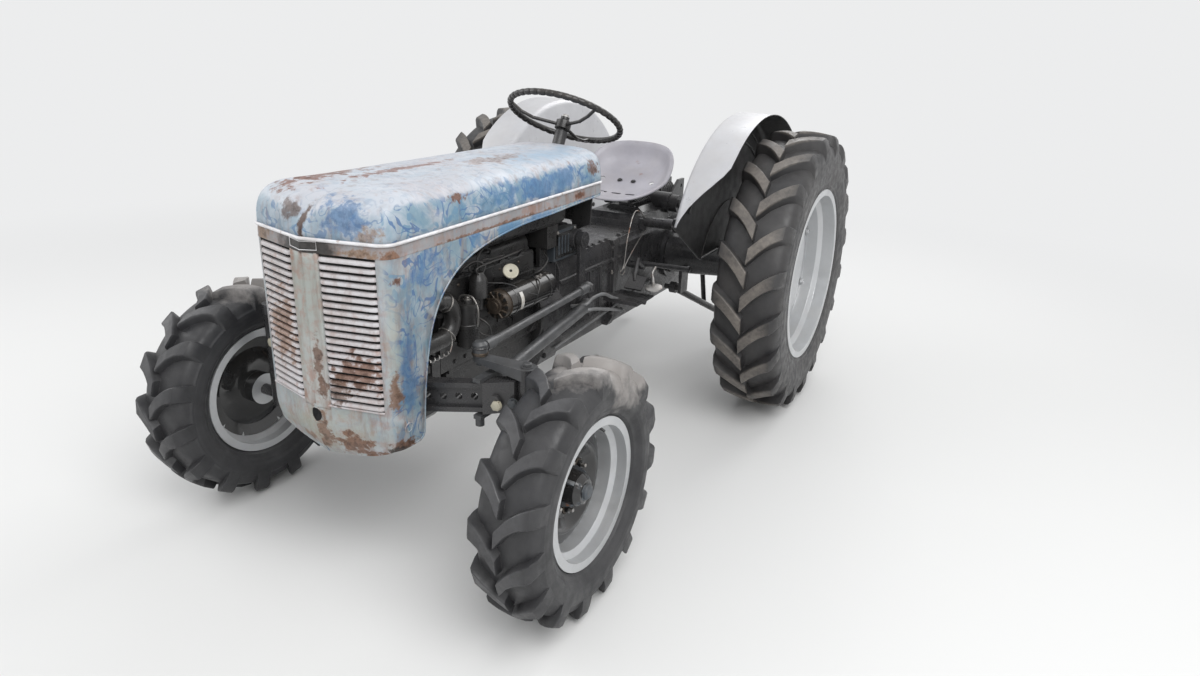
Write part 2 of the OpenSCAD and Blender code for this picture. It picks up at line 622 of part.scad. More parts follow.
module centre_housing() color("black") at_axle() {
    front_plate(mirrored([[140, case_z], [case_half, 760], [case_half, 440], [126, case_low_z]]), gearbox_rear_y, gearbox_rear_y + 22);
    front_plate(mirrored([[132, case_z], [case_half, 750], [case_half, 470], [118, case_low_z]]), gearbox_rear_y + 22, case_rear_y);
    across(lift_axis, 48, 2 * case_half);
    across(lift_axis, lift_shaft_r, 2 * 200);
    // cover of the lift cylinder
    side_plate([[-330, case_z], [-330, 806], [-296, 830], [150, 830], [180, 806], [180, case_z]], -130, 130);
    front_plate(mirrored([[70, 850], [92, 830]]), -210, 110);
}
module axle_trumpets() color("black") at_axle() both() {
    bar([case_half, 0, rear_tyre_r], [case_half + 18, 0, rear_tyre_r], trumpet_r + 22);
    bar([case_half, 0, rear_tyre_r], [brake_x, 0, rear_tyre_r], trumpet_r, 68);
    bar([brake_x, 0, rear_tyre_r], [brake_x + 24, 0, rear_tyre_r], brake_drum_r - 7);
    bar([brake_x + 24, 0, rear_tyre_r], [rear_hub_x - 12, 0, rear_tyre_r], half_shaft_r);
    across([link_pivot[0], link_pivot[1], link_pivot[2]], 12, 90);
    block([link_pivot[0] + 30, link_pivot[1] - 20, link_pivot[2] - 20], [link_pivot[0] + 45, link_pivot[1] + 60, 560]);
    // post that carries the fender
    block([417, -30, rear_tyre_r + 70], [430, 30, rear_tyre_r + 330]);
    block([404, -46, rear_tyre_r + 56], [430, 46, rear_tyre_r + 82]);
}
module power_shaft() color("silver") at_axle() {
    along(0, 560, 75, case_rear_y, case_rear_y + 20);
    along(0, 560, power_shaft_r, case_rear_y + 20, case_rear_y + 95);
}
module top_link_bracket() color("black") at_axle() {
    difference() {
        both() side_plate([[case_rear_y, 690], [case_rear_y, 846], [320, 904], [384, 904], [384, 762], [330, 750], [276, 690]], 28, 42);
        across([0, 350, 870], top_link_bore, 200);
        across([0, 350, 790], top_link_bore, 200);
    }
    across([0, 256, 800], 13, 58);
    along(0, 800, 9, 180, 256);
}

// driver's place
seat_at = [0, -205, 955];
// columns of the seat's rings: share of the half size, rise at the front and sides, extra rise at the back
SEAT = [
    [0.30, 0, 0], [0.52, 1, 1], [0.70, 5, 6], [0.82, 12, 17], [0.90, 21, 32], [0.955, 29, 48],
    [1.00, 34, 62], [1.03, 35, 66], [1.045, 31, 62]
];
SEAT_STEPS = 40;
// a point of the seat at ring row and turn a, 0 at the left and 90 at the back, lowered by t
function seat_point(row, a, t) =
    let (
        n = 2.6,
        c = cos(a),
        s = sin(a),
        out = 1 / pow(pow(abs(c), n) + pow(abs(s), n), 1 / n),
        back = ease((s + 0.15) / 1.0),
        narrow = s < 0 ? 1 - 0.24 * pow(-s, 1.4) : 1,
        x = row[0] * out * c * seat_half * narrow,
        y = row[0] * out * s * seat_half_len
    ) [x, y, row[1] + row[2] * back - t];
module seat_pan() color("silver") at_axle() translate(seat_at) rotate([seat_slope, 0, 0]) difference() {
    n = SEAT_STEPS;
    m = len(SEAT);
    top = [for (row = SEAT, i = [0 : n - 1]) seat_point(row, i * 360 / n, 0)];
    low = [for (row = SEAT, i = [0 : n - 1]) seat_point(row, i * 360 / n, 4)];
    k = n * m;
    polyhedron(concat(top, low), concat(
        [[for (i = [0 : n - 1]) n - 1 - i]],
        [[for (i = [0 : n - 1]) k + i]],
        [for (r = [0 : m - 2], i = [0 : n - 1], half = [0, 1]) let (j = (i + 1) % n) half == 0
            ? [r * n + i, r * n + j, (r + 1) * n + j]
            : [r * n + i, (r + 1) * n + j, (r + 1) * n + i]],
        [for (r = [0 : m - 2], i = [0 : n - 1], half = [0, 1]) let (j = (i + 1) % n) half == 0
            ? [k + r * n + j, k + r * n + i, k + (r + 1) * n + j]
            : [k + (r + 1) * n + j, k + r * n + i, k + (r + 1) * n + i]],
        [for (i = [0 : n - 1], half = [0, 1]) let (j = (i + 1) % n, e = (m - 1) * n) half == 0
            ? [e + i, e + j, k + e + j]
            : [e + i, k + e + j, k + e + i]]
    ));
    // drain slots near the front, and a hole on each side
    for (x = [-70, 0, 70]) translate([x, -0.52 * seat_half_len, -10]) for (d = [-18, 18]) translate([d, 0, 0]) cylinder(r = 6, h = 60);
    for (x = [-70, 0, 70]) block([x - 18, -0.52 * seat_half_len - 6, -10], [x + 18, -0.52 * seat_half_len + 6, 60]);
    both() translate([0.62 * seat_half, 10, -10]) cylinder(r = 12, h = 80);
}
spring_foot_z = 850;
module seat_spring() color("black") at_axle() {
    block([-34, -200, spring_foot_z], [34, -74, spring_foot_z + 12]);
    bent_bar([[0, -130, spring_foot_z + 12], [0, -130, spring_foot_z + 34], [0, -165, spring_foot_z + 54], [0, seat_at[1] + 8, seat_at[2] - 34]], 20);
    translate(seat_at) rotate([seat_slope, 0, 0]) translate([0, 0, -34]) cylinder(r1 = 22, r2 = 50, h = 30);
}
fender_c = [-30, 598];
wall_x = 430;
fender_bend = 25;
// how far the crown reaches out at a distance y along the tractor
function crown_reach(y) =
    let (off = y - fender_c[0])
    wall_x + fender_sheet + crown_w * (off < 0 ? ease((650 + off) / 215) : ease((686 - off) / 90));
module fender(side) color("silver") at_axle() on_side(side) intersection() {
    translate([0, fender_c[0], fender_c[1]]) rotate([0, 90, 0]) rotate_extrude($fn = 120)
        polygon(concat(
            [[300, wall_x]],
            arc([fender_r - fender_bend, wall_x + fender_bend], fender_bend, -90, 0, 4),
            [[fender_r, wall_x + crown_w + 20], [fender_r - fender_sheet, wall_x + crown_w + 20]],
            arc([fender_r - fender_bend, wall_x + fender_bend], fender_bend - fender_sheet, 0, -90, 4),
            [[300, wall_x + fender_sheet]]
        ));
    linear_extrude(1500) polygon(concat(
        [[wall_x - 10, -720], [wall_x - 10, 720]],
        [for (i = [0 : 44]) let (y = 704 - 32 * i) [crown_reach(y), y]]
    ));
    side_plate([[-720, 932], [-655, 890], [-640, 882], [-352, 700], [-326, 689], [322, 689], [352, 700], [700, 712],
        [700, 1400], [-720, 1400]], wall_x - 10, wall_x + crown_w + 30);
}
module fender_left() fender(1);
module fender_right() fender(-1);
module fender_stays() color("black") at_axle() both() {
    block([130, -322, case_z], [168, -258, case_z + 46]);
    // the stay's foot lies inside the fender's wall, a little in from its front edge
    foot = fender_c + (fender_r - 101) * [cos(152), sin(152)];
    bar([case_half, -290, case_z + 30], [404, foot[0], foot[1]], 22);
    block([398, foot[0] - 27, foot[1] - 26], [wall_x, foot[0] + 33, foot[1] + 28]);
}
module footrests() color("black") at_axle() both() {
    y = footrest_y;
    bar([waist_half, y, 560], [330, y, 560], 12);
    side_plate([[y - 80, 560], [y - 80, 576], [y - 74, 576], [y - 72, 568], [y + 80, 568], [y + 80, 560]], 176, 330);
}
module pedals_and_levers() color("black") at_axle() {
    // gear lever on its tower
    translate([0, lever_y, case_z]) cylinder(r1 = 46, r2 = 26, h = 44);
    bent_bar([for (p = [[0, case_z + 30], [18, 870], [110, 960], [140, 1015]]) [0, lever_y + p[0], p[1]]], 8);
    translate([0, lever_y + 140, 1018]) sphere(r = 19);
    // pedals on each side, on a shaft through the housing's flank
    pedal_y = footrest_y + 220;
    both() {
        across([(case_half + 216) / 2, pedal_y, 640], 13, 216 - case_half);
        bent_bar([[206, pedal_y, 640], [222, pedal_y - 80, 690], [250, pedal_y - 165, 650], [262, pedal_y - 186, 628]], 9);
        translate([268, pedal_y - 192, 624]) rotate([38, 0, 0]) block([-38, -34, -5], [38, 34, 5]);
    }
}

// rear linkage
lift_axis = [0, -20, 850];
lift_rest = -15;
lift_shaft_r = 20;
lift_arm_x = 196;
link_share = 400 / 813;
lift_eye = [lift_arm_x, lift_axis[1] + lift_arm * cos(lift_rest), lift_axis[2] + lift_arm * sin(lift_rest)];
link_eye = [
    link_pivot[0] + (link_end_x - link_pivot[0]) * link_share,
    link_pivot[1] + link_len * link_share * cos(link_drop),
    link_pivot[2] - link_len * link_share * sin(link_drop)
];
module lift_arms() color("black") at_axle() difference() {
    both() {
        across([171, lift_axis[1], lift_axis[2]], 40, 40);
        hull() {
            across([180, lift_axis[1], lift_axis[2]], 26, 18);
            across([180, lift_eye[1], lift_eye[2]], 18, 18);
        }
    }
    across(lift_axis, lift_shaft_r + run_fit, 500);
}
module lift_rod(side) color("black") at_axle() on_side(side) {
    top = [202.5, lift_eye[1], lift_eye[2]];
    foot = [link_eye[0] - 30, link_eye[1], link_eye[2] + 6];
    run = foot - top;
    bar(top, foot, 12);
    bar(top + run * 0.42, top + run * 0.62, 19);
    across(top, 16, 26);
}
module lift_rod_left() lift_rod(1);
module lift_rod_right() lift_rod(-1);
module lower_link(side) color("black") at_axle() on_side(side) {
    far = [link_end_x, link_pivot[1] + link_len * cos(link_drop), link_pivot[2] - link_len * sin(link_drop)];
    difference() {
        union() {
            bar(link_pivot, far, 16);
            across(link_pivot, 26, 30);
            across(far, link_ball_r, 44);
        }
        across(link_pivot, 12 + run_fit, 60);
        across(far, link_ball_bore, 100);
    }
}
module lower_link_left() lower_link(1);
module lower_link_right() lower_link(-1);

// bonnet
// columns of the bonnet's rings: inset from the outline, height as a share from bead to crown, and share of
// the nose's crease
RINGS = [
    [0, 0, 0], [1, 0.36, 0.2], [5, 0.56, 0.6], [13, 0.71, 1.0], [28, 0.84, 1.0], [52, 0.925, 0.8], [95, 0.975, 0.4],
    [160, 1.0, 0]
];
slope_up = 0.004;
function plan_y(t) = bonnet_rear_y + t * (corner_y - bonnet_rear_y);
// outline of the bonnet as seen from above, from the left rear to the nose
OUTLINE = concat(
    [for (t = [0 : 0.125 : 0.95]) [bonnet_rear_half + (bonnet_front_half - bonnet_rear_half) * t, plan_y(t), 0]],
    [for (a = [0 : 15 : 75]) [
        bonnet_front_half - 45 * (1 - cos(a)), corner_y - 45 * (sin(a) - 1) - 30, a / 90]],
    [for (x = [165, 125, 85, 45, 18]) [x, -nose_reach + x * nose_point / bonnet_front_half, 1]]
);
HALF = concat(OUTLINE, [[0, -nose_reach, 1]]);
FULL = concat(HALF, [for (i = [len(HALF) - 2 : -1 : 0]) [-HALF[i][0], HALF[i][1], HALF[i][2]]]);
// how deep the crease between the nose's lobes is at x, for a point that faces the nose
function crease(x, facing, share) = facing < 1 ? 0 : nose_crease * share * (1 - ease(abs(x) / 60));
function shell_point(p, ring, t) =
    let (
        inset = ring[0] + t,
        deep = crease(p[0], p[2], ring[2]),
        base = bead_z + (crown_z - 4 - bead_z) * ring[1],
        x = p[0] * max(0, 1 - inset / bonnet_front_half),
        y = p[1] + inset * p[2] + deep
    ) [x, y, base - deep * 0.6 - (ring[1] > 0 ? t : 0) + (y + 2000) * slope_up];
module bonnet_top() color("lightsteelblue") at_axle() {
    n = len(FULL);
    m = len(RINGS);
    outer = [for (ring = RINGS, p = FULL) shell_point(p, ring, 0)];
    inner = [for (ring = RINGS, p = FULL) shell_point(p, ring, sheet)];
    points = concat(outer, inner);
    k = n * m;
    faces = concat(
        [for (r = [0 : m - 2], i = [0 : n - 2], half = [0, 1]) half == 0
            ? [r * n + i, r * n + i + 1, (r + 1) * n + i + 1]
            : [r * n + i, (r + 1) * n + i + 1, (r + 1) * n + i]],
        [for (r = [0 : m - 2], i = [0 : n - 2], half = [0, 1]) half == 0
            ? [k + (r + 1) * n + i, k + (r + 1) * n + i + 1, k + r * n + i + 1]
            : [k + (r + 1) * n + i, k + r * n + i + 1, k + r * n + i]],
        [for (i = [0 : n - 2]) [k + i, k + i + 1, i + 1, i]],
        [for (r = [0 : m - 2]) [r * n, (r + 1) * n, k + (r + 1) * n, k + r * n]],
        [for (r = [0 : m - 2])
            [k + r * n + n - 1, k + (r + 1) * n + n - 1, (r + 1) * n + n - 1, r * n + n - 1]],
        [for (i = [0 : (n - 3) / 2]) [(m - 1) * n + i, (m - 1) * n + i + 1, m * n - 2 - i, m * n - 1 - i]],
        [for (i = [0 : (n - 3) / 2])
            [k + m * n - 1 - i, k + m * n - 2 - i, k + (m - 1) * n + i + 1, k + (m - 1) * n + i]],
        [[(m - 1) * n, m * n - 1, k + m * n - 1, k + (m - 1) * n]]
    );
    polyhedron(points, faces);
}
module bonnet_band() color("lightsteelblue") at_axle()
    translate([0, 0, band_z]) linear_extrude(bead_z - 1 - band_z) difference() {
        polygon([for (p = FULL) [p[0], p[1]]]);
        polygon(concat(
            [for (p = FULL) [p[0] * (1 - sheet / bonnet_front_half), p[1] + sheet * p[2]]],
            [[-bonnet_rear_half + sheet, 0], [bonnet_rear_half - sheet, 0]]
        ));
    }
// columns of the arch's points: share of the panel's length from the front, and drop below the band
ARCH = [
    [0.0966, 510], [0.105, 410], [0.1186, 313], [0.1441, 216], [0.189, 138], [0.2686, 75], [0.3797, 41],
    [0.532, 22], [0.705, 18], [0.833, 12], [0.992, 8]
];
function between(p, q, r, s, t) = 0.5 * (2 * q + (r - p) * t + (2 * p - 5 * q + 4 * r - s) * t * t
    + (3 * q - p - 3 * r + s) * t * t * t);
function smooth(points, n) = [for (i = [0 : len(points) - 2], j = [0 : n - 1])
    between(points[max(0, i - 1)], points[i], points[i + 1], points[min(len(points) - 1, i + 2)], j / n)];
function panel_y(share) = corner_y + share * (bonnet_rear_y - corner_y);
module side_panels() color("lightsteelblue") at_axle() both() {
    foot_z = apron_z + 50;
    arch = [for (p = concat(smooth(ARCH, 3), [ARCH[len(ARCH) - 1]])) [panel_y(p[0]), band_z - p[1]]];
    translate([bonnet_front_half - sheet, corner_y, 0]) rotate([0, 0, -taper]) translate([0, -corner_y, 0])
        side_plate(concat(
            [[bonnet_rear_y - 2, band_z], [corner_y, band_z], [corner_y, foot_z]],
            arc([panel_y(0.072), foot_z + 18], 18, -90, -10, 4),
            arch,
            [[bonnet_rear_y - 2, band_z - 8]]
        ), 0, sheet);
    across([(168 + bonnet_front_half - sheet) / 2, hinge[1], hinge[2]], hinge_pin_r, bonnet_front_half - sheet - 168);
    across([bonnet_front_half - sheet - 3, hinge[1], hinge[2]], hinge_pin_r + 8, 5);
}
// the apron's section under the ledge: how far back and how high, as shares of its height
APRON = [[0, 1], [0, 0.82], [2, 0.62], [6, 0.44], [13, 0.28], [23, 0.14], [36, 0]];
module grille() color("lightgray") at_axle() {
    low = band_z - ledge_z;
    pitch = (low - 8) / louvres;
    drop = ledge_z - apron_z;
    face = [for (p = APRON) [p[0], apron_z + drop * p[1]]];
    back = [for (i = [len(face) - 1 : -1 : 0]) face[i] + [sheet, 0]];
    difference() {
        both() translate([0, -nose_reach, 0]) rotate([0, 0, atan(nose_point / bonnet_front_half)]) {
            intersection() {
                side_plate(concat(face, back), 0, 246);
                front_plate([[-5, apron_z], [70, apron_z], [150, apron_z + 12], [205, apron_z + 30], [246, apron_z + 52],
                    [246, ledge_z], [-5, ledge_z]], -10, 60);
            }
            block([0, -5, ledge_z - 3], [246, sheet, ledge_z + 5]);
            block([0, 0, ledge_z], [strip_half, sheet, band_z]);
            block([strip_half + louvre_len, 0, ledge_z], [246, sheet, band_z]);
            for (i = [0 : louvres - 1]) side_plate(
                [for (p = [[9, 0], [2, 0.5], [-2.5, 4], [-2.5, 8], [2, 11.5], [9, 12]])
                    [p[0], ledge_z + 9 + i * pitch + p[1]]], strip_half - 4, strip_half + louvre_len + 4);
        }
        // hole for the starting crank
        along(0, ledge_z - 22, crank_hole_r, -nose_reach - 40, -nose_reach + 60);
    }
}

engine_block();
engine_sump();
engine_ancillaries();
exhaust_pipe();
dynamo();
fan_and_belt();
radiator();
fuel_tank();
battery_box();
dash_panel();
gearbox_housing();
centre_housing();
axle_trumpets();
steering_box();
front_bolster();
front_axle_beam();
axle_extensions();
radius_rods();
seat_pan();
seat_spring();
fender_left();
fender_right();
fender_stays();
footrests();
pedals_and_levers();
top_link_bracket();
power_shaft();
bonnet_top();
bonnet_band();
side_panels();
grille();
steering_wheel();
drop_arm_left();
drop_arm_right();
drag_link_left();
drag_link_right();
knuckle_left();
knuckle_right();
front_wheel_left();
front_wheel_right();
front_tyre_left();
front_tyre_right();
rear_wheel_left();
rear_wheel_right();
rear_tyre_left();
rear_tyre_right();
lift_arms();
lift_rod_left();
lift_rod_right();
lower_link_left();
lower_link_right();
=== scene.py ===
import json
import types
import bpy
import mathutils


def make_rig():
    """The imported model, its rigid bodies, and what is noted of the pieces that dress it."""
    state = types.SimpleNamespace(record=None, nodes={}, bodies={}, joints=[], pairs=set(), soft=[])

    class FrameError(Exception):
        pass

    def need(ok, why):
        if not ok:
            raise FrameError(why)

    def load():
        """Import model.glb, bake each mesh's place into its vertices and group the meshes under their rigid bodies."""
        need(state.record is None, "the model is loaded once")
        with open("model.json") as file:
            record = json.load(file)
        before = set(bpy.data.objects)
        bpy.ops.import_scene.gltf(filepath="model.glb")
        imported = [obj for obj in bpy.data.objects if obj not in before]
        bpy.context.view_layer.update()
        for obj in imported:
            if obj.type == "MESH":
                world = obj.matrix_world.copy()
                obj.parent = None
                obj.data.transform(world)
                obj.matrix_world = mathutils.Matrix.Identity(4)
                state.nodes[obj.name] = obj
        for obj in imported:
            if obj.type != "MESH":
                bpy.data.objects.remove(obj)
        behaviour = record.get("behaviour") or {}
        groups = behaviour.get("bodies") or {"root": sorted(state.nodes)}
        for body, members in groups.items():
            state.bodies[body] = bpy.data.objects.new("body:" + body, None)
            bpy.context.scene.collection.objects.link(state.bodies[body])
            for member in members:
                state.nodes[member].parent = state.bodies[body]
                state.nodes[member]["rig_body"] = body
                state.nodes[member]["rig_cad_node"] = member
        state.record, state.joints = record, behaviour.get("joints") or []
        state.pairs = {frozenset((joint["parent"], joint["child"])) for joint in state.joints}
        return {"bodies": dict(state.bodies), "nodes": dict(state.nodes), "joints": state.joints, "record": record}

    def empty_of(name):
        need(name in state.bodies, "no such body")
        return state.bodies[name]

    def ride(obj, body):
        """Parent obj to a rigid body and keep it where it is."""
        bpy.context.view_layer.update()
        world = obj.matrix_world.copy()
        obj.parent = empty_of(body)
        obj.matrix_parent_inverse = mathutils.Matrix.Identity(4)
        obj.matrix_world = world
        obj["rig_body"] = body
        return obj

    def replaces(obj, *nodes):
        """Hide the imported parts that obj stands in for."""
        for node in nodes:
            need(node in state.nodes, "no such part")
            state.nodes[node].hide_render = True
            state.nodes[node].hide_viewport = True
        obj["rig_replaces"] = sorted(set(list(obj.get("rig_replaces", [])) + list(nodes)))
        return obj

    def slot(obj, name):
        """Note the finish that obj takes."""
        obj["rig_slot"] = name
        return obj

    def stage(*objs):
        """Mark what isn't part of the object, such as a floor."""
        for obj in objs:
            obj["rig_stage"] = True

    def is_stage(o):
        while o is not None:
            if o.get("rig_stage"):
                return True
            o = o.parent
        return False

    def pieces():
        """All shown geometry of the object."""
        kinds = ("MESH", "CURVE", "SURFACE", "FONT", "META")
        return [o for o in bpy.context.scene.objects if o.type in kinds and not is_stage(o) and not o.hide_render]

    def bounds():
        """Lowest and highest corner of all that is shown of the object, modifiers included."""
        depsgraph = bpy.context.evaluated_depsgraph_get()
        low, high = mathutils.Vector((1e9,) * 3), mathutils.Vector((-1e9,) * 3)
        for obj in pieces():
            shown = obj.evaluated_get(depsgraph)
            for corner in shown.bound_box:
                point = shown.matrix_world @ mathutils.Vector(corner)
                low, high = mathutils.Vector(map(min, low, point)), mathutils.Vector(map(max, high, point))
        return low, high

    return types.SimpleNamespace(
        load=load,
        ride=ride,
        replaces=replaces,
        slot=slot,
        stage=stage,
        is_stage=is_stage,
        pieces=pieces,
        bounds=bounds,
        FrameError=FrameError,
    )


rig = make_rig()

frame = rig.load()

import json
import logging
import math
from dataclasses import dataclass, field
from enum import Enum
from functools import reduce
from typing import Callable, Dict, List, Optional, Sequence, Tuple

import bmesh
import bpy
from mathutils import Matrix, Vector

MM = 0.001
CAD_BOX = [list(corner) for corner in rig.bounds()]
AXLE_Y = next(j["pos_m"][1] for j in frame["joints"] if j["name"] == "rear_roll_left")

log = logging.getLogger("tractor")

Pair = Tuple[float, float]
Point = Tuple[float, float, float]
Rgb = Tuple[float, float, float]
Node = bpy.types.Node
Socket = bpy.types.NodeSocket
Tree = bpy.types.NodeTree
Vert = bmesh.types.BMVert


class Side(Enum):
    """A side of the tractor, by the sign of X."""

    LEFT = 1
    RIGHT = -1

    @property
    def word(self) -> str:
        """The side's word in node and body names."""
        return self.name.lower()


class Axis(Enum):
    """The axis that a turned form turns about."""

    X = 0
    Y = 1
    Z = 2


# shader trees


class Wiring:
    """Adds and links the nodes of one shader tree."""

    def __init__(self, tree: Tree) -> None:
        """Wraps a material's tree or a node group."""
        self.tree = tree

    def add(self, kind: str, settings: Optional[Dict[str, object]] = None, *values: object, **inputs: object) -> Node:
        """Adds one node.

        Args:
            kind: the node's type, without its ShaderNode prefix.
            settings: values of the node's own settings.
            values: what its first inputs get, in order: a value each, or a socket that feeds it.
            inputs: what other inputs get, by name, with _ for each space.

        Returns:
            The new node.
        """
        node = self.tree.nodes.new("ShaderNode" + kind)
        for name, value in (settings or {}).items():
            setattr(node, name, value)
        for number, value in enumerate(values):
            self.feed(node, number, value)
        for name, value in inputs.items():
            self.feed(node, name.replace("_", " "), value)
        return node

    def feed(self, node: Node, name: object, value: object) -> None:
        """Gives an input a value or a link.

        Args:
            node: the node that has the input.
            name: the input's name or number.
            value: a number, colour, vector or output socket.
        """
        socket = node.inputs[name]
        if isinstance(value, Socket):
            self.tree.links.new(value, socket)
        elif isinstance(value, tuple) and len(value) == 3 and socket.type == "RGBA":
            socket.default_value = (*value, 1.0)
        else:
            socket.default_value = value

    def math(self, operation: str, *values: object, clamp: bool = False) -> Socket:
        """The result of a math node; clamp holds it between 0 and 1."""
        return self.add("Math", {"operation": operation, "use_clamp": clamp}, *values).outputs[0]

    def times(self, *values: object) -> Socket:
        """The product of two or more values."""
        return reduce(lambda so_far, value: self.math("MULTIPLY", so_far, value), values)

    def vector(self, operation: str, *values: object) -> Socket:
        """The vector that a vector math node gives."""
        return self.add("VectorMath", {"operation": operation}, *values).outputs[0]

    def measure(self, operation: str, *values: object) -> Socket:
        """The number that a vector math node gives."""
        return self.add("VectorMath", {"operation": operation}, *values).outputs["Value"]

    def mix(self, factor: object, low: object, high: object) -> Socket:
        """Mixes two colours.

        Args:
            factor: share of the second colour.
            low: the first colour.
            high: the second colour.

        Returns:
            Its socket.
        """
        node = self.add("Mix", {"data_type": "RGBA"})
        for place, value in ((0, factor), (6, low), (7, high)):
            self.feed(node, place, value)
        return node.outputs[2]

    def span(self, value: object, low: float, high: float, to_low: float = 0.0, to_high: float = 1.0) -> Socket:
        """A value that runs softly from to_low to to_high while the given one runs from low to high."""
        soft = {"interpolation_type": "SMOOTHSTEP"}
        return self.add("MapRange", soft, value, low, high, to_low, to_high).outputs[0]

    def noise(self, place: object, scale: object, detail: float = 4.0, rough: float = 0.55,
              twist: object = 0.0) -> Socket:
        """The value of a noise, about 0.3 to 0.7; its scale is per metre, its detail in octaves."""
        node = self.add("TexNoise", None, Vector=place, Scale=scale, Detail=detail, Roughness=rough, Distortion=twist)
        return node.outputs[0]

    def place(self) -> Socket:
        """Coordinates that stay with the piece, in metres."""
        return self.add("TexCoord").outputs["Object"]

    def facing(self, axis: Axis) -> Socket:
        """How far the surface faces along an axis of the piece."""
        return self.add("SeparateXYZ", None, Vector=self.add("TexCoord").outputs["Normal"]).outputs[axis.name]

    def group(self, tree: Tree, **inputs: object) -> Node:
        """Places a shared effect with its own values."""
        return self.add("Group", {"node_tree": tree}, **inputs)

    def mask(self, tree: Tree, **inputs: object) -> Socket:
        """Places a shared effect and returns its mask."""
        return self.group(tree, **inputs).outputs["Mask"]


class Effect(Wiring):
    """A node group that several finishes share, with named inputs and outputs."""

    def __init__(self, name: str, inputs: Dict[str, object], *outputs: str) -> None:
        """Starts the group.

        Args:
            name: the group's name.
            inputs: each input's name and first value; a value of three numbers is a vector, one of four a colour.
            outputs: each output's name; the one called Color is a colour, the others are numbers.
        """
        super().__init__(bpy.data.node_groups.new(name, "ShaderNodeTree"))
        kinds = {1: "NodeSocketFloat", 3: "NodeSocketVector", 4: "NodeSocketColor"}
        for title, value in inputs.items():
            kind = kinds[len(value) if isinstance(value, tuple) else 1]
            self.tree.interface.new_socket(title, in_out="INPUT", socket_type=kind).default_value = value
        for title in outputs:
            self.tree.interface.new_socket(title, in_out="OUTPUT", socket_type=kinds[4 if title == "Color" else 1])
        self.given = self.tree.nodes.new("NodeGroupInput").outputs
        self.out = self.tree.nodes.new("NodeGroupOutput")

    def gives(self, **results: Socket) -> Tree:
        """Feeds the outputs.

        Args:
            results: each output's name and what feeds it.

        Returns:
            The finished group.
        """
        for name, result in results.items():
            self.feed(self.out, name, result)
        return self.tree

    def level(self) -> Socket:
        """The noise value above which the given share of a surface lies."""
        return self.math("SUBTRACT", 0.72, self.math("MULTIPLY", self.given["Share"], 0.44))


def ragged_patches() -> Tree:
    """Ragged patches: a mask of noise cut at a level.

    Returns:
        The group.
    """
    w = Effect("ragged patches", {"Scale": 4.0, "Share": 0.5, "Softness": 0.1, "Stretch": (1.0, 1.0, 1.0),
                                  "Offset": 0.0, "Twist": 0.0}, "Mask")
    place = w.vector("ADD", w.vector("MULTIPLY", w.place(), w.given["Stretch"]), w.given["Offset"])
    noise = w.noise(place, w.given["Scale"], 7.0, 0.62, w.given["Twist"])
    past = w.math("SUBTRACT", noise, w.math("SUBTRACT", w.level(), w.given["Softness"]))
    return w.gives(Mask=w.math("DIVIDE", past, w.times(w.given["Softness"], 2.0), clamp=True))


def edge_wear() -> Tree:
    """Wear along edges, and on the hub a painted highlight: where the rounded normal leaves the flat one, broken up by
    noise.

    Returns:
        The group.
    """
    w = Effect("edge wear", {"Width": 0.003, "Amount": 0.5, "Scale": 60.0}, "Mask")
    rounded = w.add("Bevel", {"samples": 4}, Radius=w.given["Width"]).outputs[0]
    bend = w.math("SUBTRACT", 1.0, w.measure("DOT_PRODUCT", rounded, w.add("NewGeometry").outputs["Normal"]))
    broken = w.span(w.noise(w.place(), w.given["Scale"], 4.0, 0.6), 0.42, 0.62)
    return w.gives(Mask=w.times(w.span(bend, 0.01, 0.12), broken, w.given["Amount"]))


def settled_dust() -> Tree:
    """Dust that lies on what faces up, in drifts.

    Returns:
        The group.
    """
    w = Effect("settled dust", {"Amount": 0.4, "Scale": 9.0}, "Mask")
    faced = w.span(w.facing(Axis.Z), -0.4, 0.9, 0.18, 1.0)
    drift = w.span(w.noise(w.place(), w.given["Scale"], 6.0, 0.65), 0.35, 0.65)
    return w.gives(Mask=w.times(faced, drift, w.given["Amount"]))


def surface_grain() -> Tree:
    """A fine grain and its coarser unevenness, as a height.

    Returns:
        The group.
    """
    w = Effect("surface grain", {"Scale": 300.0, "Depth": 1.0}, "Height", "Value")
    place = w.place()
    fine = w.noise(place, w.given["Scale"], 3.0, 0.6)
    coarse = w.noise(place, w.times(w.given["Scale"], 0.08), 4.0, 0.5)
    both = w.math("ADD", w.times(fine, 0.45), w.times(coarse, 0.55))
    return w.gives(Value=both, Height=w.times(both, w.given["Depth"]))


def scabby_rust() -> Tree:
    """Rust: its colours and its scabby height.

    Returns:
        The group.
    """
    w = Effect("rust", {"Scale": 30.0, "Dark": (0.06, 0.022, 0.01, 1.0), "Bright": (0.3, 0.115, 0.045, 1.0)},
               "Color", "Height")
    noise = w.noise(w.place(), w.given["Scale"], 8.0, 0.7)
    return w.gives(Color=w.mix(w.span(noise, 0.35, 0.66), w.given["Dark"], w.given["Bright"]), Height=noise)


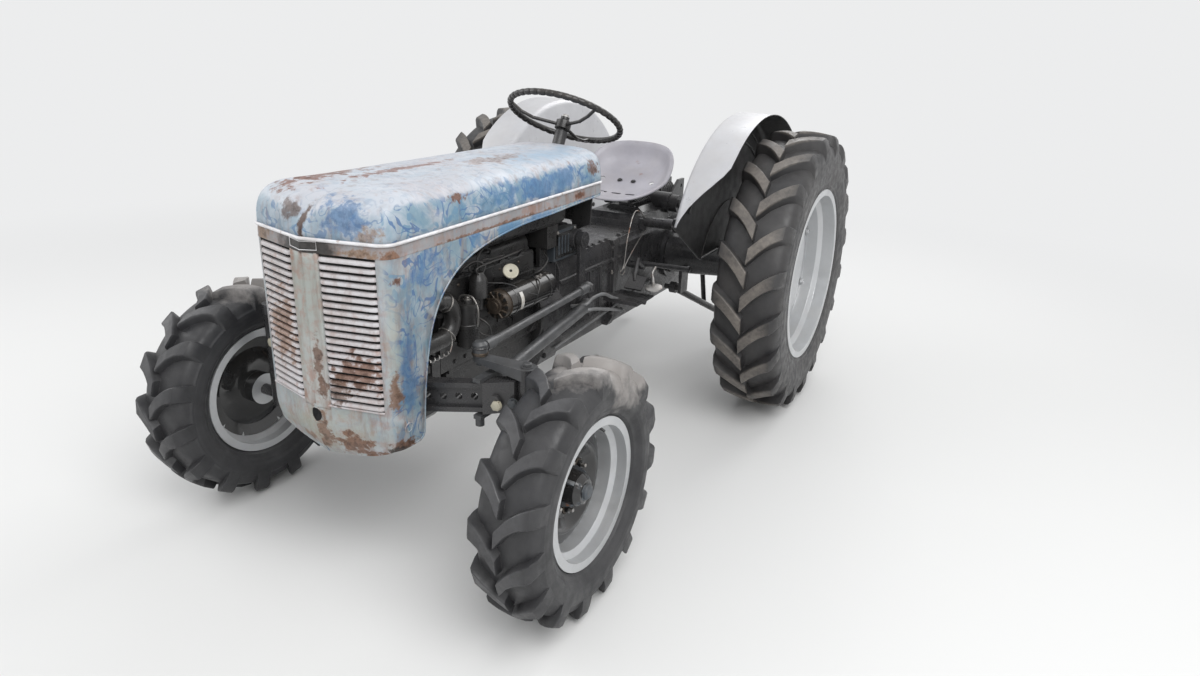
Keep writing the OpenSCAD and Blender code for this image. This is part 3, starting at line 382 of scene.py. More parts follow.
def ragged_spot() -> Tree:
    """A ragged spot round a point of the piece, with a speckled core.

    Returns:
        The group.
    """
    w = Effect("ragged spot", {"Centre": (0.0, 0.0, 0.0), "Size": (0.1, 0.1, 0.1), "Ragged": 0.6, "Scale": 14.0,
                               "Softness": 0.25}, "Mask", "Core")
    place = w.place()
    far = w.measure("LENGTH", w.vector("DIVIDE", w.vector("SUBTRACT", place, w.given["Centre"]), w.given["Size"]))
    uneven = w.math("SUBTRACT", w.noise(place, w.given["Scale"], 7.0, 0.65), 0.5)
    inside = w.math("SUBTRACT", 1.0, w.math("ADD", far, w.times(uneven, w.times(w.given["Ragged"], 4.0))))
    speckle = w.span(w.noise(place, 55.0, 6.0, 0.7), 0.42, 0.6)
    return w.gives(Mask=w.math("DIVIDE", inside, w.given["Softness"], clamp=True),
                   Core=w.times(w.span(inside, 0.15, 0.75), speckle))


def brush_strokes() -> Tree:
    """Thin curly brush strokes: the contour lines of a warped noise, in patches.

    Returns:
        The group.
    """
    w = Effect("brush strokes", {"Scale": 9.0, "Share": 0.6, "Width": 0.075, "Offset": 0.0}, "Mask")
    place = w.vector("ADD", w.place(), w.given["Offset"])
    waves = w.math("PINGPONG", w.times(w.noise(place, w.given["Scale"], 2.0, 0.4, 1.1), 5.0), 0.5)
    width = w.times(w.given["Width"], w.span(w.noise(place, 26.0, 3.0), 0.3, 0.7, 0.2, 2.2))
    line = w.math("DIVIDE", w.math("SUBTRACT", width, waves), 0.03, clamp=True)
    patch = w.math("SUBTRACT", w.noise(place, 3.6, 5.0, twist=0.6), w.level())
    return w.gives(Mask=w.times(line, w.math("DIVIDE", patch, 0.1, clamp=True)))


def upright_sides() -> Tree:
    """What stands upright and faces sideways; less of it on top and in front, as given.

    Returns:
        The group.
    """
    w = Effect("upright sides", {"On Top": 0.1, "On Front": 0.3}, "Mask")
    broken = w.times(w.math("SUBTRACT", w.noise(w.place(), 16.0, 5.0), 0.5), 0.7)
    standing = w.span(w.math("ADD", w.facing(Axis.Z), broken), 0.35, 0.75, 1.0, 0.0)
    sideways = w.span(w.math("ABSOLUTE", w.facing(Axis.X)), 0.5, 0.92)
    return w.gives(Mask=w.times(w.math("MAXIMUM", sideways, w.given["On Front"]),
                                w.math("MAXIMUM", standing, w.given["On Top"])))


PATCHES = ragged_patches()
EDGE_WEAR_AND_HIGHLIGHT = edge_wear()
DUST = settled_dust()
GRAIN = surface_grain()
SCABBY_RUST = scabby_rust()
SPOT = ragged_spot()
STROKES = brush_strokes()
SIDES = upright_sides()

# kinds of finish


@dataclass(frozen=True)
class Blotch:
    """A ragged spot of another colour on one painted piece, in millimetres from the rear axle."""

    centre: Point
    size: Point
    colour: Rgb
    amount: float = 0.9
    ragged: float = 0.6
    scale: float = 34.0
    softness: float = 0.4
    core: float = 0.8

    def wire(self, w: Wiring) -> Node:
        """Places the blotch in a material.

        Args:
            w: the material's wiring.

        Returns:
            The group's node, with its mask and core.
        """
        x, y, z = self.centre
        return w.group(SPOT, Centre=(x * MM, y * MM + AXLE_Y, z * MM), Size=tuple(s * MM for s in self.size),
                       Ragged=self.ragged, Scale=self.scale, Softness=self.softness)


def blotches(*rows: Sequence[object]) -> Tuple[Blotch, ...]:
    """Makes blotches, each from a row of its values in order."""
    return tuple(Blotch(*row) for row in rows)


@dataclass(frozen=True)
class Finish:
    """A worn, painted or bare surface, as numbers for the shared effects."""

    name: str
    slot: str
    base: Rgb
    varied: Rgb
    patch_scale: float = 5.0
    patch_share: float = 0.5
    roughness: Pair = (0.35, 0.6)
    metallic: float = 0.0
    coat: float = 0.0
    edge: Rgb = (0.35, 0.33, 0.31)
    edge_amount: float = 0.35
    edge_width: float = 0.003
    rust_share: float = 0.0
    rust_scale: float = 6.0
    dust: Rgb = (0.36, 0.31, 0.25)
    dust_amount: float = 0.25
    grain_scale: float = 260.0
    grain_depth: float = 0.25

    def build(self) -> bpy.types.Material:
        """Makes the material, or returns the one already made.

        Returns:
            The material.
        """
        material = bpy.data.materials.get(self.name)
        if not material:
            material = bpy.data.materials.new(self.name)
            material.use_nodes = True
            self.wire(Wiring(material.node_tree), material.node_tree.nodes["Principled BSDF"])
        return material

    def colour(self, w: Wiring) -> Socket:
        """The paint's or metal's own colour, before wear."""
        patches = w.mask(PATCHES, Scale=self.patch_scale, Share=self.patch_share, Softness=0.12)
        return w.mix(patches, self.base, self.varied)

    def wire(self, w: Wiring, shader: Node) -> None:
        """Wires colour, edge wear (on the hub a painted highlight), rust, dust and grain to the shader.

        Args:
            w: the material's wiring.
            shader: its Principled node.
        """
        colour = self.colour(w)
        grain = w.group(GRAIN, Scale=self.grain_scale, Depth=self.grain_depth)
        height = grain.outputs["Height"]
        rough = w.span(grain.outputs["Value"], 0.35, 0.65, *self.roughness)
        metal: object = self.metallic
        if self.edge_amount:
            # On the hub this edge colour is a painted highlight; on the other finishes it is wear.
            worn = w.mask(EDGE_WEAR_AND_HIGHLIGHT, Width=self.edge_width, Amount=self.edge_amount)
            colour = w.mix(worn, colour, self.edge)
        if self.rust_share:
            rust = w.group(SCABBY_RUST)
            eaten = w.mask(PATCHES, Scale=self.rust_scale, Share=self.rust_share, Softness=0.05, Offset=7.3)
            colour = w.mix(eaten, colour, rust.outputs["Color"])
            rough = w.math("ADD", rough, w.times(eaten, 0.3), clamp=True)
            height = w.math("ADD", height, w.times(eaten, rust.outputs["Height"], 0.5))
            if self.metallic:
                metal = w.times(w.math("SUBTRACT", 1.0, eaten), self.metallic)
        if self.dust_amount:
            dusty = w.mask(DUST, Amount=self.dust_amount)
            colour = w.mix(dusty, colour, self.dust)
            rough = w.math("ADD", rough, w.times(dusty, 0.35), clamp=True)
        bump = w.add("Bump", None, Strength=0.35, Distance=0.0012, Height=height)
        for name, value in (("Base Color", colour), ("Roughness", rough), ("Metallic", metal),
                            ("Coat Weight", self.coat), ("Normal", bump.outputs[0])):
            w.feed(shader, name, value)


@dataclass(frozen=True)
class TyreFinish(Finish):
    """Rubber that is dark in its grooves and dusty on the lugs, by distance from the axle."""

    centre: Point = (0.0, 0.0, 0.0)
    reach: Pair = (0.5, 0.55)
    tread_dust: Rgb = (0.27, 0.21, 0.155)
    tread_amount: float = 0.7
    wall_amount: float = 0.11
    mud: Tuple[Blotch, ...] = ()

    def colour(self, w: Wiring) -> Socket:
        """Rubber with dust that grows towards the lug tops, and dried mud.

        Args:
            w: the material's wiring.

        Returns:
            The colour's socket.
        """
        rubber = super().colour(w)
        off = w.vector("SUBTRACT", w.place(), self.centre)
        radius = w.measure("LENGTH", w.vector("MULTIPLY", off, (0.0, 1.0, 1.0)))
        drift = w.mask(PATCHES, Scale=9.0, Share=0.62, Softness=0.16, Offset=3.1)
        speckle = w.mask(PATCHES, Scale=70.0, Share=0.62, Softness=0.15)
        dusty = w.math("ADD", w.times(drift, 0.6), w.times(speckle, 0.4))
        wall = w.mask(PATCHES, Scale=5.0, Share=0.45, Softness=0.2, Offset=11.0)
        amount = w.math("MAXIMUM", w.times(w.span(radius, *self.reach), dusty, self.tread_amount),
                        w.times(wall, self.wall_amount))
        colour = w.mix(amount, rubber, self.tread_dust)
        for blotch in self.mud:
            colour = w.mix(w.times(blotch.wire(w).outputs["Mask"], blotch.amount), colour, blotch.colour)
        return colour


@dataclass(frozen=True)
class BonnetPaint(Finish):
    """The bonnet's old paint: blue brushed over off-white on what stands upright, blotches, and rust that runs down;
    one blotch on the shell's top is a painted reflection.
    """

    sky: Rgb = (0.15, 0.265, 0.34)
    cobalt: Rgb = (0.065, 0.145, 0.3)
    cerulean: Rgb = (0.13, 0.25, 0.36)
    sky_amount: float = 0.7
    sky_share: float = 0.5
    stroke_amount: float = 0.85
    stroke_share: float = 0.55
    stroke_scale: float = 9.0
    run: Rgb = (0.2, 0.095, 0.055)
    run_share: float = 0.3
    run_amount: float = 0.8
    bleed: Rgb = (0.36, 0.2, 0.15)
    bleed_share: float = 0.3
    bleed_amount: float = 0.7
    on_top: float = 0.1
    on_front: float = 0.25
    shade: float = 0.36
    blotches: Tuple[Blotch, ...] = ()

    def colour(self, w: Wiring) -> Socket:
        """Freckles of rust, brushed blue, runs of rust and blotches, laid over the old paint.

        Args:
            w: the material's wiring.

        Returns:
            The colour's socket.
        """
        colour = super().colour(w)
        freckles = w.mask(PATCHES, Scale=38.0, Share=self.bleed_share, Softness=0.07, Offset=5.0)
        where = w.mask(PATCHES, Scale=3.2, Softness=0.18, Offset=2.0, Twist=1.2)
        colour = w.mix(w.times(freckles, where, self.bleed_amount), colour, self.bleed)
        sides = w.mask(SIDES, On_Top=self.on_top, On_Front=self.on_front)
        sky = w.mask(PATCHES, Scale=9.0, Share=self.sky_share, Softness=0.16, Offset=4.0, Twist=0.8)
        colour = w.mix(w.times(sky, sides, self.sky_amount), colour, self.sky)
        for paint, scale, offset in ((self.cerulean, 0.7, 0.0), (self.cobalt, 1.0, 3.7)):
            strokes = w.mask(STROKES, Scale=self.stroke_scale * scale, Share=self.stroke_share, Offset=offset)
            colour = w.mix(w.times(strokes, sides, self.stroke_amount), colour, paint)
        runs = w.mask(PATCHES, Scale=34.0, Share=self.run_share, Softness=0.09, Offset=9.0, Stretch=(1.0, 1.0, 0.22))
        where = w.mask(PATCHES, Scale=3.5, Softness=0.2, Offset=1.0)
        colour = w.mix(w.times(runs, where, self.run_amount), colour, self.run)
        for blotch in self.blotches:
            spot = blotch.wire(w).outputs
            colour = w.mix(w.times(spot["Mask"], blotch.amount), colour, blotch.colour)
            core = tuple(c * self.shade for c in blotch.colour)
            colour = w.mix(w.times(spot["Core"], blotch.core), colour, core)
        return colour


# finishes

RUST = (0.15, 0.062, 0.034)
DARK_RUST = (0.07, 0.034, 0.022)
SHELL_PAINT = BonnetPaint(
    "bonnet shell paint", "worn_blue_paint", (0.54, 0.57, 0.62), (0.51, 0.485, 0.51), patch_scale=4.0,
    patch_share=0.35, roughness=(0.34, 0.6), edge=(0.2, 0.1, 0.07), edge_amount=0.3, dust_amount=0.05,
    stroke_scale=11.0, stroke_share=0.85, sky_share=0.7, sky_amount=0.9, run_share=0.22, bleed_share=0.2,
    grain_depth=0.12, on_top=0.3, on_front=0.7,
    blotches=blotches(
        # Painted reflection: this broad pale blue blotch on the crown's top is the sky's reflection painted into the
        # colour, not paint.
        ((120, -1080, 1185), (150, 330, 40), (0.29, 0.42, 0.55), 0.75, 0.7, 8, 0.9, 0),
        ((222, -1200, 1105), (26, 330, 50), (0.07, 0.18, 0.35), 0.8, 1.2, 12, 0.5, 0.3),
        ((236, -1600, 1098), (22, 150, 40), (0.1, 0.22, 0.34), 0.7, 1.2, 16, 0.5, 0.3),
        ((0, -2070, 1105), (13, 70, 80), DARK_RUST, 0.95, 0.45, 53),
        ((-55, -2062, 1128), (42, 40, 36), (0.13, 0.095, 0.085), 0.86, 0.7, 38),
        ((120, -2040, 1120), (84, 50, 50), (0.09, 0.19, 0.36), 0.7, 1.3, 26, 0.5, 0.4),
        ((200, -2040, 1078), (40, 45, 26), (0.3, 0.22, 0.17), 0.78, 0.8, 43),
        ((238, -1711, 1135), (30, 48, 16), RUST, 0.93, 0.8, 53),
        ((-150, -1860, 1176), (60, 190, 30), (0.2, 0.095, 0.07), 0.9, 1.2, 29),
        ((-30, -1650, 1182), (26, 230, 20), (0.26, 0.135, 0.11), 0.82, 1.3),
        ((60, -1300, 1184), (50, 160, 20), (0.36, 0.28, 0.26), 0.65, 1.2, 24),
        ((212, -900, 1120), (24, 46, 30), RUST, 0.78, 0.9, 43),
    ),
)
PANEL_PAINT = BonnetPaint(
    "side panel paint", "worn_blue_paint", (0.44, 0.46, 0.48), (0.33, 0.37, 0.38),
    roughness=(0.34, 0.58), edge=(0.2, 0.1, 0.07), edge_amount=0.5, dust_amount=0.05, stroke_scale=10.5,
    stroke_share=0.95, sky_share=0.55, sky_amount=0.9, run_share=0.4, bleed_share=0.4, grain_depth=0.12,
    on_front=0.12,
    blotches=blotches(
        ((0, -2060, 500), (330, 90, 110), (0.31, 0.315, 0.235), 0.65, 0.6, 14, 1, 0),
        ((240, -2010, 800), (22, 30, 200), (0.4, 0.43, 0.39), 0.7, 0.5, 12, 0.9, 0),
        ((232, -1880, 960), (30, 90, 60), (0.075, 0.17, 0.34), 0.75, 1.1, 18, 0.5, 0.3),
        ((236, -1960, 700), (26, 36, 150), (0.085, 0.19, 0.35), 0.7, 1.1, 16, 0.5, 0.3),
        ((222, -1400, 1000), (30, 260, 30), (0.075, 0.2, 0.36), 0.7, 1.1, 12, 0.5, 0.2),
        ((244, -1990, 960), (14, 22, 14), RUST, 0.9, 0.7, 72),
        ((238, -2012, 640), (22, 26, 60), (0.2, 0.115, 0.075), 0.9, 0.8, 53),
        ((236, -1985, 484), (34, 60, 24), (0.16, 0.085, 0.055), 0.95, 0.9, 48),
        ((232, -2010, 470), (30, 44, 16), (0.035, 0.026, 0.022), 0.93, 0.8, 48),
        ((110, -2040, 470), (70, 40, 44), (0.2, 0.1, 0.06), 0.95, 1.1, 36),
        ((190, -2025, 440), (60, 50, 22), (0.17, 0.085, 0.05), 0.95, 0.9, 38),
        ((18, -2070, 500), (28, 40, 70), (0.2, 0.115, 0.075), 0.9, 0.9, 43),
        ((-60, -2060, 460), (50, 40, 26), (0.24, 0.14, 0.09), 0.86, 1, 38),
    ),
)
BAND_PAINT = BonnetPaint(
    "band paint", "worn_grey_paint", (0.345, 0.345, 0.36), (0.26, 0.245, 0.24),
    edge=(0.24, 0.12, 0.08), edge_amount=0.6, dust_amount=0.05, sky_amount=0.15, stroke_amount=0.12, run_share=0.4,
    bleed_share=0.42, grain_depth=0.12,
    blotches=blotches(
        ((10, -2068, 1038), (126, 80, 70), (0.026, 0.023, 0.022), 0.95, 0.25, 24),
        ((170, -2035, 1030), (60, 40, 14), (0.26, 0.17, 0.115), 0.93, 0.8, 48),
        ((236, -2000, 1030), (34, 34, 18), (0.22, 0.115, 0.07), 0.95, 0.7, 48),
        ((-190, -2030, 1036), (40, 40, 30), (0.26, 0.18, 0.13), 0.93, 0.8, 43),
        ((214, -1003, 1036), (30, 42, 14), RUST, 0.95, 0.7, 58),
        ((230, -1500, 1022), (20, 420, 7), (0.2, 0.11, 0.075), 0.86, 0.9, 38),
    ),
)
BEAD_PAINT = Finish(
    "bead paint", "worn_grey_paint", (0.78, 0.78, 0.8), (0.6, 0.58, 0.58), patch_scale=18.0, roughness=(0.3, 0.5),
    rust_share=0.16, rust_scale=20.0, edge_amount=0.0, dust_amount=0.0,
)
STRIP_PAINT = BonnetPaint(
    "centre strip paint", "worn_grey_paint", (0.44, 0.46, 0.45), (0.36, 0.385, 0.36), roughness=(0.32, 0.55),
    edge=(0.2, 0.115, 0.075), edge_amount=0.75, dust_amount=0.0, sky_amount=0.1, stroke_amount=0.0, run_share=0.42,
    bleed_share=0.42, grain_depth=0.12,
    blotches=blotches(
        ((24, -2068, 720), (16, 30, 70), (0.16, 0.09, 0.06), 0.86, 0.8, 48),
        ((30, -2066, 640), (20, 30, 40), (0.17, 0.1, 0.07), 0.93, 0.8, 48),
    ),
)
LOUVRE_PAINT = BonnetPaint(
    "louvre paint", "worn_grey_paint", (0.6, 0.59, 0.61), (0.5, 0.47, 0.47), roughness=(0.34, 0.6),
    edge=(0.2, 0.1, 0.07), edge_amount=0.3, edge_width=0.002, dust_amount=0.0, sky_amount=0.1, stroke_amount=0.0,
    bleed_share=0.25, grain_depth=0.1,
    blotches=blotches(
        ((-120, -2040, 790), (70, 60, 120), (0.3, 0.18, 0.125), 0.86, 0.9, 29),
        ((130, -2040, 700), (80, 60, 60), (0.22, 0.12, 0.085), 0.9, 1),
        ((80, -2050, 640), (40, 60, 40), (0.16, 0.09, 0.06), 0.78, 1),
    ),
)
ENGINE_BLACK = Finish(
    "engine black", "engine_black", (0.018, 0.018, 0.019), (0.034, 0.033, 0.032), roughness=(0.2, 0.44),
    edge=(0.12, 0.115, 0.11), dust=(0.1, 0.085, 0.07), dust_amount=0.08,
)
BENT_ROD = Finish(
    "bent rod", "bare_shaft", (0.2, 0.205, 0.21), (0.14, 0.142, 0.145), patch_scale=20.0, roughness=(0.28, 0.45),
    edge_amount=0.0, dust_amount=0.1,
)
ROD_GREY = Finish(
    "rod paint", "engine_black", (0.075, 0.077, 0.08), (0.05, 0.051, 0.053), patch_scale=20.0,
    roughness=(0.28, 0.46), edge_amount=0.3, edge=(0.2, 0.2, 0.2), dust=(0.16, 0.145, 0.13), dust_amount=0.12,
)
CHASSIS_BLACK = Finish(
    "chassis black", "engine_black", (0.026, 0.026, 0.028), (0.044, 0.043, 0.044), roughness=(0.16, 0.4),
    edge=(0.13, 0.125, 0.12), edge_amount=0.4, dust=(0.12, 0.105, 0.09), dust_amount=0.08,
)
GLOSS_BLACK = Finish(
    "gloss black", "engine_black", (0.012, 0.012, 0.013), (0.02, 0.02, 0.02), roughness=(0.1, 0.24), coat=0.4,
    edge=(0.1, 0.1, 0.1), edge_amount=0.15, dust=(0.22, 0.19, 0.155), dust_amount=0.12,
)
RUBBER_HOSE = Finish(
    "hose rubber", "tyre_rubber", (0.02, 0.02, 0.021), (0.03, 0.03, 0.031), roughness=(0.3, 0.5),
    edge_amount=0.0, dust=(0.2, 0.17, 0.14), dust_amount=0.2, grain_scale=600.0,
)
RUSTY_PIPE = Finish(
    "rusty pipe", "rusty_exhaust", (0.1, 0.058, 0.04), (0.19, 0.1, 0.06), patch_scale=14.0, roughness=(0.6, 0.9),
    rust_share=0.5, rust_scale=12.0, grain_depth=0.8, edge_amount=0.0,
)
BARE_STEEL = Finish(
    "bare steel", "bare_shaft", (0.42, 0.41, 0.4), (0.3, 0.28, 0.26), metallic=0.85, roughness=(0.28, 0.5),
    rust_share=0.18, rust_scale=16.0, edge=(0.6, 0.6, 0.6), dust_amount=0.1,
)
BRASS = Finish(
    "old brass", "bare_shaft", (0.08, 0.062, 0.048), (0.04, 0.032, 0.026), patch_scale=40.0, metallic=0.4,
    roughness=(0.35, 0.55), edge_amount=0.5, edge=(0.3, 0.22, 0.15), dust_amount=0.1,
)
CREAM = Finish(
    "cream paint", "worn_grey_paint", (0.56, 0.53, 0.42), (0.44, 0.41, 0.32), patch_scale=25.0, roughness=(0.3, 0.5),
    edge=(0.2, 0.12, 0.08), edge_amount=0.5, dust_amount=0.1,
)
LABEL_WHITE = Finish(
    "plain label", "worn_grey_paint", (0.66, 0.65, 0.62), (0.5, 0.47, 0.42), patch_scale=40.0, roughness=(0.4, 0.6),
    edge_amount=0.3, edge=(0.25, 0.2, 0.15), dust_amount=0.15,
)
SLATE = Finish(
    "slate paint", "engine_black", (0.05, 0.062, 0.074), (0.035, 0.042, 0.05), roughness=(0.25, 0.45),
    edge_amount=0.3, edge=(0.16, 0.17, 0.18), dust_amount=0.2,
)
SILVER = Finish(
    "silver paint", "silver_paint", (0.58, 0.59, 0.6), (0.49, 0.5, 0.51), patch_scale=3.0, metallic=0.5,
    roughness=(0.28, 0.48), edge=(0.75, 0.75, 0.75), edge_amount=0.2, dust=(0.42, 0.38, 0.33), dust_amount=0.14,
    grain_scale=420.0, grain_depth=0.15,
)
FENDER_SILVER = Finish(
    "fender paint", "silver_paint", (0.59, 0.595, 0.615), (0.49, 0.49, 0.51), patch_scale=2.4, metallic=0.25,
    roughness=(0.26, 0.46), coat=0.1, edge=(0.3, 0.27, 0.25), edge_amount=0.45, dust=(0.44, 0.4, 0.35),
    dust_amount=0.14, grain_scale=420.0, grain_depth=0.15, rust_share=0.02,
)
FENDER_BLACK = Finish(
    "fender inside", "engine_black", (0.02, 0.02, 0.021), (0.036, 0.035, 0.035), roughness=(0.3, 0.5),
    edge_amount=0.2, dust=(0.11, 0.1, 0.095), dust_amount=0.2,
)
RIM_BLACK = Finish(
    "dish black", "wheel_rim_black", (0.012, 0.012, 0.013), (0.02, 0.02, 0.02), roughness=(0.08, 0.24),
    edge=(0.2, 0.2, 0.2), edge_amount=0.25, dust=(0.2, 0.16, 0.12), dust_amount=0.05, coat=0.5,
)
# The hub's pale edge colour, strong here, is a painted highlight standing in for the glints on its arms.
HUB_PAINT_WITH_HIGHLIGHTS = Finish(
    "hub paint", "wheel_rim_black", (0.06, 0.072, 0.085), (0.035, 0.04, 0.046), patch_scale=20.0,
    roughness=(0.3, 0.5), edge=(0.3, 0.33, 0.35), edge_amount=0.7, dust_amount=0.15, rust_share=0.14,
    rust_scale=30.0,
)
SEAT_GREY = Finish(
    "seat grey", "seat_grey", (0.42, 0.41, 0.45), (0.35, 0.34, 0.375), patch_scale=6.0, roughness=(0.32, 0.52),
    edge=(0.3, 0.24, 0.22), rust_share=0.06, rust_scale=9.0, dust=(0.42, 0.38, 0.34), dust_amount=0.15,
)
WHEEL_BLACK = Finish(
    "hand wheel black", "engine_black", (0.014, 0.014, 0.015), (0.026, 0.024, 0.023), roughness=(0.14, 0.34),
    edge=(0.12, 0.11, 0.1), edge_amount=0.2, dust=(0.3, 0.26, 0.22), dust_amount=0.12, grain_scale=500.0,
)
# Painted shade: this near-black finish goes on discs that stand for holes, with the shade inside them painted in.
PAINTED_HOLE_SHADE = Finish(
    "dark hollow", "engine_black", (0.006, 0.006, 0.006), (0.012, 0.011, 0.01), roughness=(0.6, 0.9),
    edge_amount=0.0, dust=(0.06, 0.05, 0.04), dust_amount=0.2,
)
MESH_BLACK = Finish(
    "radiator black", "engine_black", (0.01, 0.01, 0.01), (0.018, 0.017, 0.016), roughness=(0.45, 0.7),
    edge_amount=0.2, edge=(0.08, 0.07, 0.06), dust=(0.12, 0.1, 0.08), dust_amount=0.2,
)


# forms


def ease(t: float) -> float:
    """A soft step from 0 to 1."""
    t = min(1.0, max(0.0, t))
    return t * t * (3 - 2 * t)


def polar(radius: float, degrees: float) -> Pair:
    """The two parts of a radius at an angle."""
    turn = math.radians(degrees)
    return radius * math.cos(turn), radius * math.sin(turn)


def smooth_path(points: Sequence[Point], per: int = 6) -> List[Vector]:
    """Runs a smooth curve through points.

    Args:
        points: the points that it passes.
        per: steps between two of them.

    Returns:
        The curve's points.
    """
    dots = [Vector(p) for p in points]
    made: List[Vector] = []
    for i in range(len(dots) - 1):
        before, here = dots[max(0, i - 1)], dots[i]
        there, after = dots[i + 1], dots[min(len(dots) - 1, i + 2)]
        for step in range(per):
            t = step / per
            made.append(0.5 * (2 * here + (there - before) * t + (2 * before - 5 * here + 4 * there - after) * t * t
                               + (3 * here - before - 3 * there + after) * t ** 3))
    return made + [dots[-1]]


def smooth_edge(points: Sequence[Pair], per: int) -> List[Pair]:
    """Runs a smooth flat curve through points, with per steps between two of them."""
    return [(p.x, p.y) for p in smooth_path([(*p, 0.0) for p in points], per)]


def between(table: Sequence[Sequence[float]], share: float) -> List[float]:
    """Reads a table of stations at a share of its first column.

    Args:
        table: rows, each with its place first.
        share: the place to read.

    Returns:
        The other columns there.
    """
    for low, high in zip(table, table[1:]):
        if share <= high[0]:
            t = (share - low[0]) / (high[0] - low[0])
            return [a + (b - a) * t for a, b in zip(low[1:], high[1:])]
    return list(table[-1][1:])


def placed(name: str, data: bpy.types.ID) -> bpy.types.Object:
    """Links an object for some data.

    Args:
        name: the object's name.
        data: its mesh, lamp or camera.

    Returns:
        The object.
    """
    thing = bpy.data.objects.new(name, data)
    bpy.context.scene.collection.objects.link(thing)
    return thing


class Form:
    """A mesh being built in the tractor's own frame: millimetres, rear axle at y = 0, ground at z = 0."""

    def __init__(self, name: str, *finishes: Finish) -> None:
        """Starts an empty form.

        Args:
            name: the piece's name.
            finishes: its finishes; a face names one by its number.
        """
        self.name = name
        self.finishes = finishes
        self.bm = bmesh.new()
        self.turn = Matrix.Identity(4)

    def at(self, place: Point = (0, 0, 0), **angles: float) -> "Form":
        """Sets where the next shapes go.

        Args:
            place: the origin of the next shapes.
            angles: x, y or z, the turns in degrees, applied in that order.

        Returns:
            The form itself.
        """
        turn = Matrix.Identity(4)
        for axis, angle in angles.items():
            turn = Matrix.Rotation(math.radians(angle), 4, axis.upper()) @ turn
        self.turn = Matrix.Translation(place) @ turn
        return self

    def dot(self, place: Point) -> Vert:
        """Adds one vertex at a place in the present frame."""
        return self.bm.verts.new(self.turn @ Vector(place))

    def face(self, verts: Sequence[Vert], finish: int, flat: bool = False) -> None:
        """Adds one face, unless it is there already.

        Args:
            verts: its corners.
            finish: its finish.
            flat: shades it flat.
        """
        try:
            face = self.bm.faces.new(verts)
        except ValueError:
            return
        face.material_index = finish
        face.smooth = not flat

    def skin(self, rings: Sequence[Sequence[Point]], finish: int = 0, closed: bool = True, caps: bool = True,
             flat: bool = False) -> "Form":
        """Stretches a skin over rings of equal count.

        Args:
            rings: the rings, in order.
            finish: its finish.
            closed: joins each ring's last point to its first.
            caps: closes both ends.
            flat: shades it flat.

        Returns:
            The form itself.
        """
        made = [[self.dot(p) for p in ring] for ring in rings]
        count = len(made[0])
        for low, high in zip(made, made[1:]):
            for i in range(count if closed else count - 1):
                j = (i + 1) % count
                self.face((low[i], low[j], high[j], high[i]), finish, flat)
        if caps and closed:
            self.face(made[0][::-1], finish, True)
            self.face(made[-1], finish, True)
        return self

    def turned(self, profile: Sequence[Pair], axis: Axis = Axis.X, steps: int = 48, finish: int = 0,
               ring: bool = False) -> "Form":
        """Turns a profile of (place along the axis, radius) about an axis through the origin.

        Args:
            profile: the profile's points.
            axis: the axis.
            steps: steps of the turn.
            finish: its finish.
            ring: joins the profile's last point to its first.

        Returns:
            The form itself.
        """
        made: List[List[Vert]] = []
        for along, radius in profile:
            if radius < 1e-6:
                made.append([self.dot(self.spun(axis, along, 0.0, 0.0))] * steps)
            else:
                made.append([self.dot(self.spun(axis, along, radius, 360 * i / steps)) for i in range(steps)])
        if ring:
            made.append(made[0])
        for low, high in zip(made, made[1:]):
            for i in range(steps):
                j = (i + 1) % steps
                corners = list(dict.fromkeys((low[i], low[j], high[j], high[i])))
                if len(corners) > 2:
                    self.face(corners, finish)
        if not ring:
            for row, way in ((made[0], -1), (made[-1], 1)):
                if row[0] is not row[1]:
                    self.face(row[::way], finish, True)
        return self

    @staticmethod
    def spun(axis: Axis, along: float, radius: float, degrees: float) -> Point:
        """A point at a radius and angle about an axis."""
        a, b = polar(radius, degrees)
        return {Axis.X: (along, a, b), Axis.Y: (b, along, a), Axis.Z: (a, b, along)}[axis]

    def tube(self, path: Sequence[Point], radius: float, steps: int = 14, finish: int = 0, ends: bool = True,
             radii: Optional[Sequence[float]] = None) -> "Form":
        """Runs a round tube along a path.

        Args:
            path: its points.
            radius: the tube's radius.
            steps: steps round it.
            finish: its finish.
            ends: closes both ends.
            radii: a radius for each point, instead of the one radius.

        Returns:
            The form itself.
        """
        dots = [Vector(p) for p in path]
        ahead = [(dots[min(i + 1, len(dots) - 1)] - dots[max(i - 1, 0)]).normalized() for i in range(len(dots))]
        side = ahead[0].orthogonal().normalized()
        turns = [polar(1.0, 360 * k / steps) for k in range(steps)]
        rings = []
        for dot, way, r in zip(dots, ahead, radii or [radius] * len(dots)):
            side = (side - way * side.dot(way)).normalized()
            other = way.cross(side)
            rings.append([dot + (side * cos + other * sin) * r for cos, sin in turns])
        return self.skin(rings, finish, caps=ends)

    def wire(self, points: Sequence[Point], radius: float, steps: int = 8, finish: int = 0) -> "Form":
        """Runs a round tube along a smooth curve through points."""
        return self.tube(smooth_path(points), radius, steps, finish)

    def prism(self, outline: Sequence[Pair], low: float, high: float, axis: Axis = Axis.X, finish: int = 0) -> "Form":
        """Extrudes an outline: one of y and z along X, or one of x and y along Z."""
        rings = [[(level, *p) if axis is Axis.X else (*p, level) for p in outline] for level in (low, high)]
        return self.skin(rings, finish, flat=True)

    def block(self, low: Point, high: Point, finish: int = 0) -> "Form":
        """Adds a block between its lowest and highest corner; its edges are rounded later."""
        (x, y, z), (far_x, far_y, top) = low, high
        return self.prism([(x, y), (far_x, y), (far_x, far_y), (x, far_y)], z, top, Axis.Z, finish)

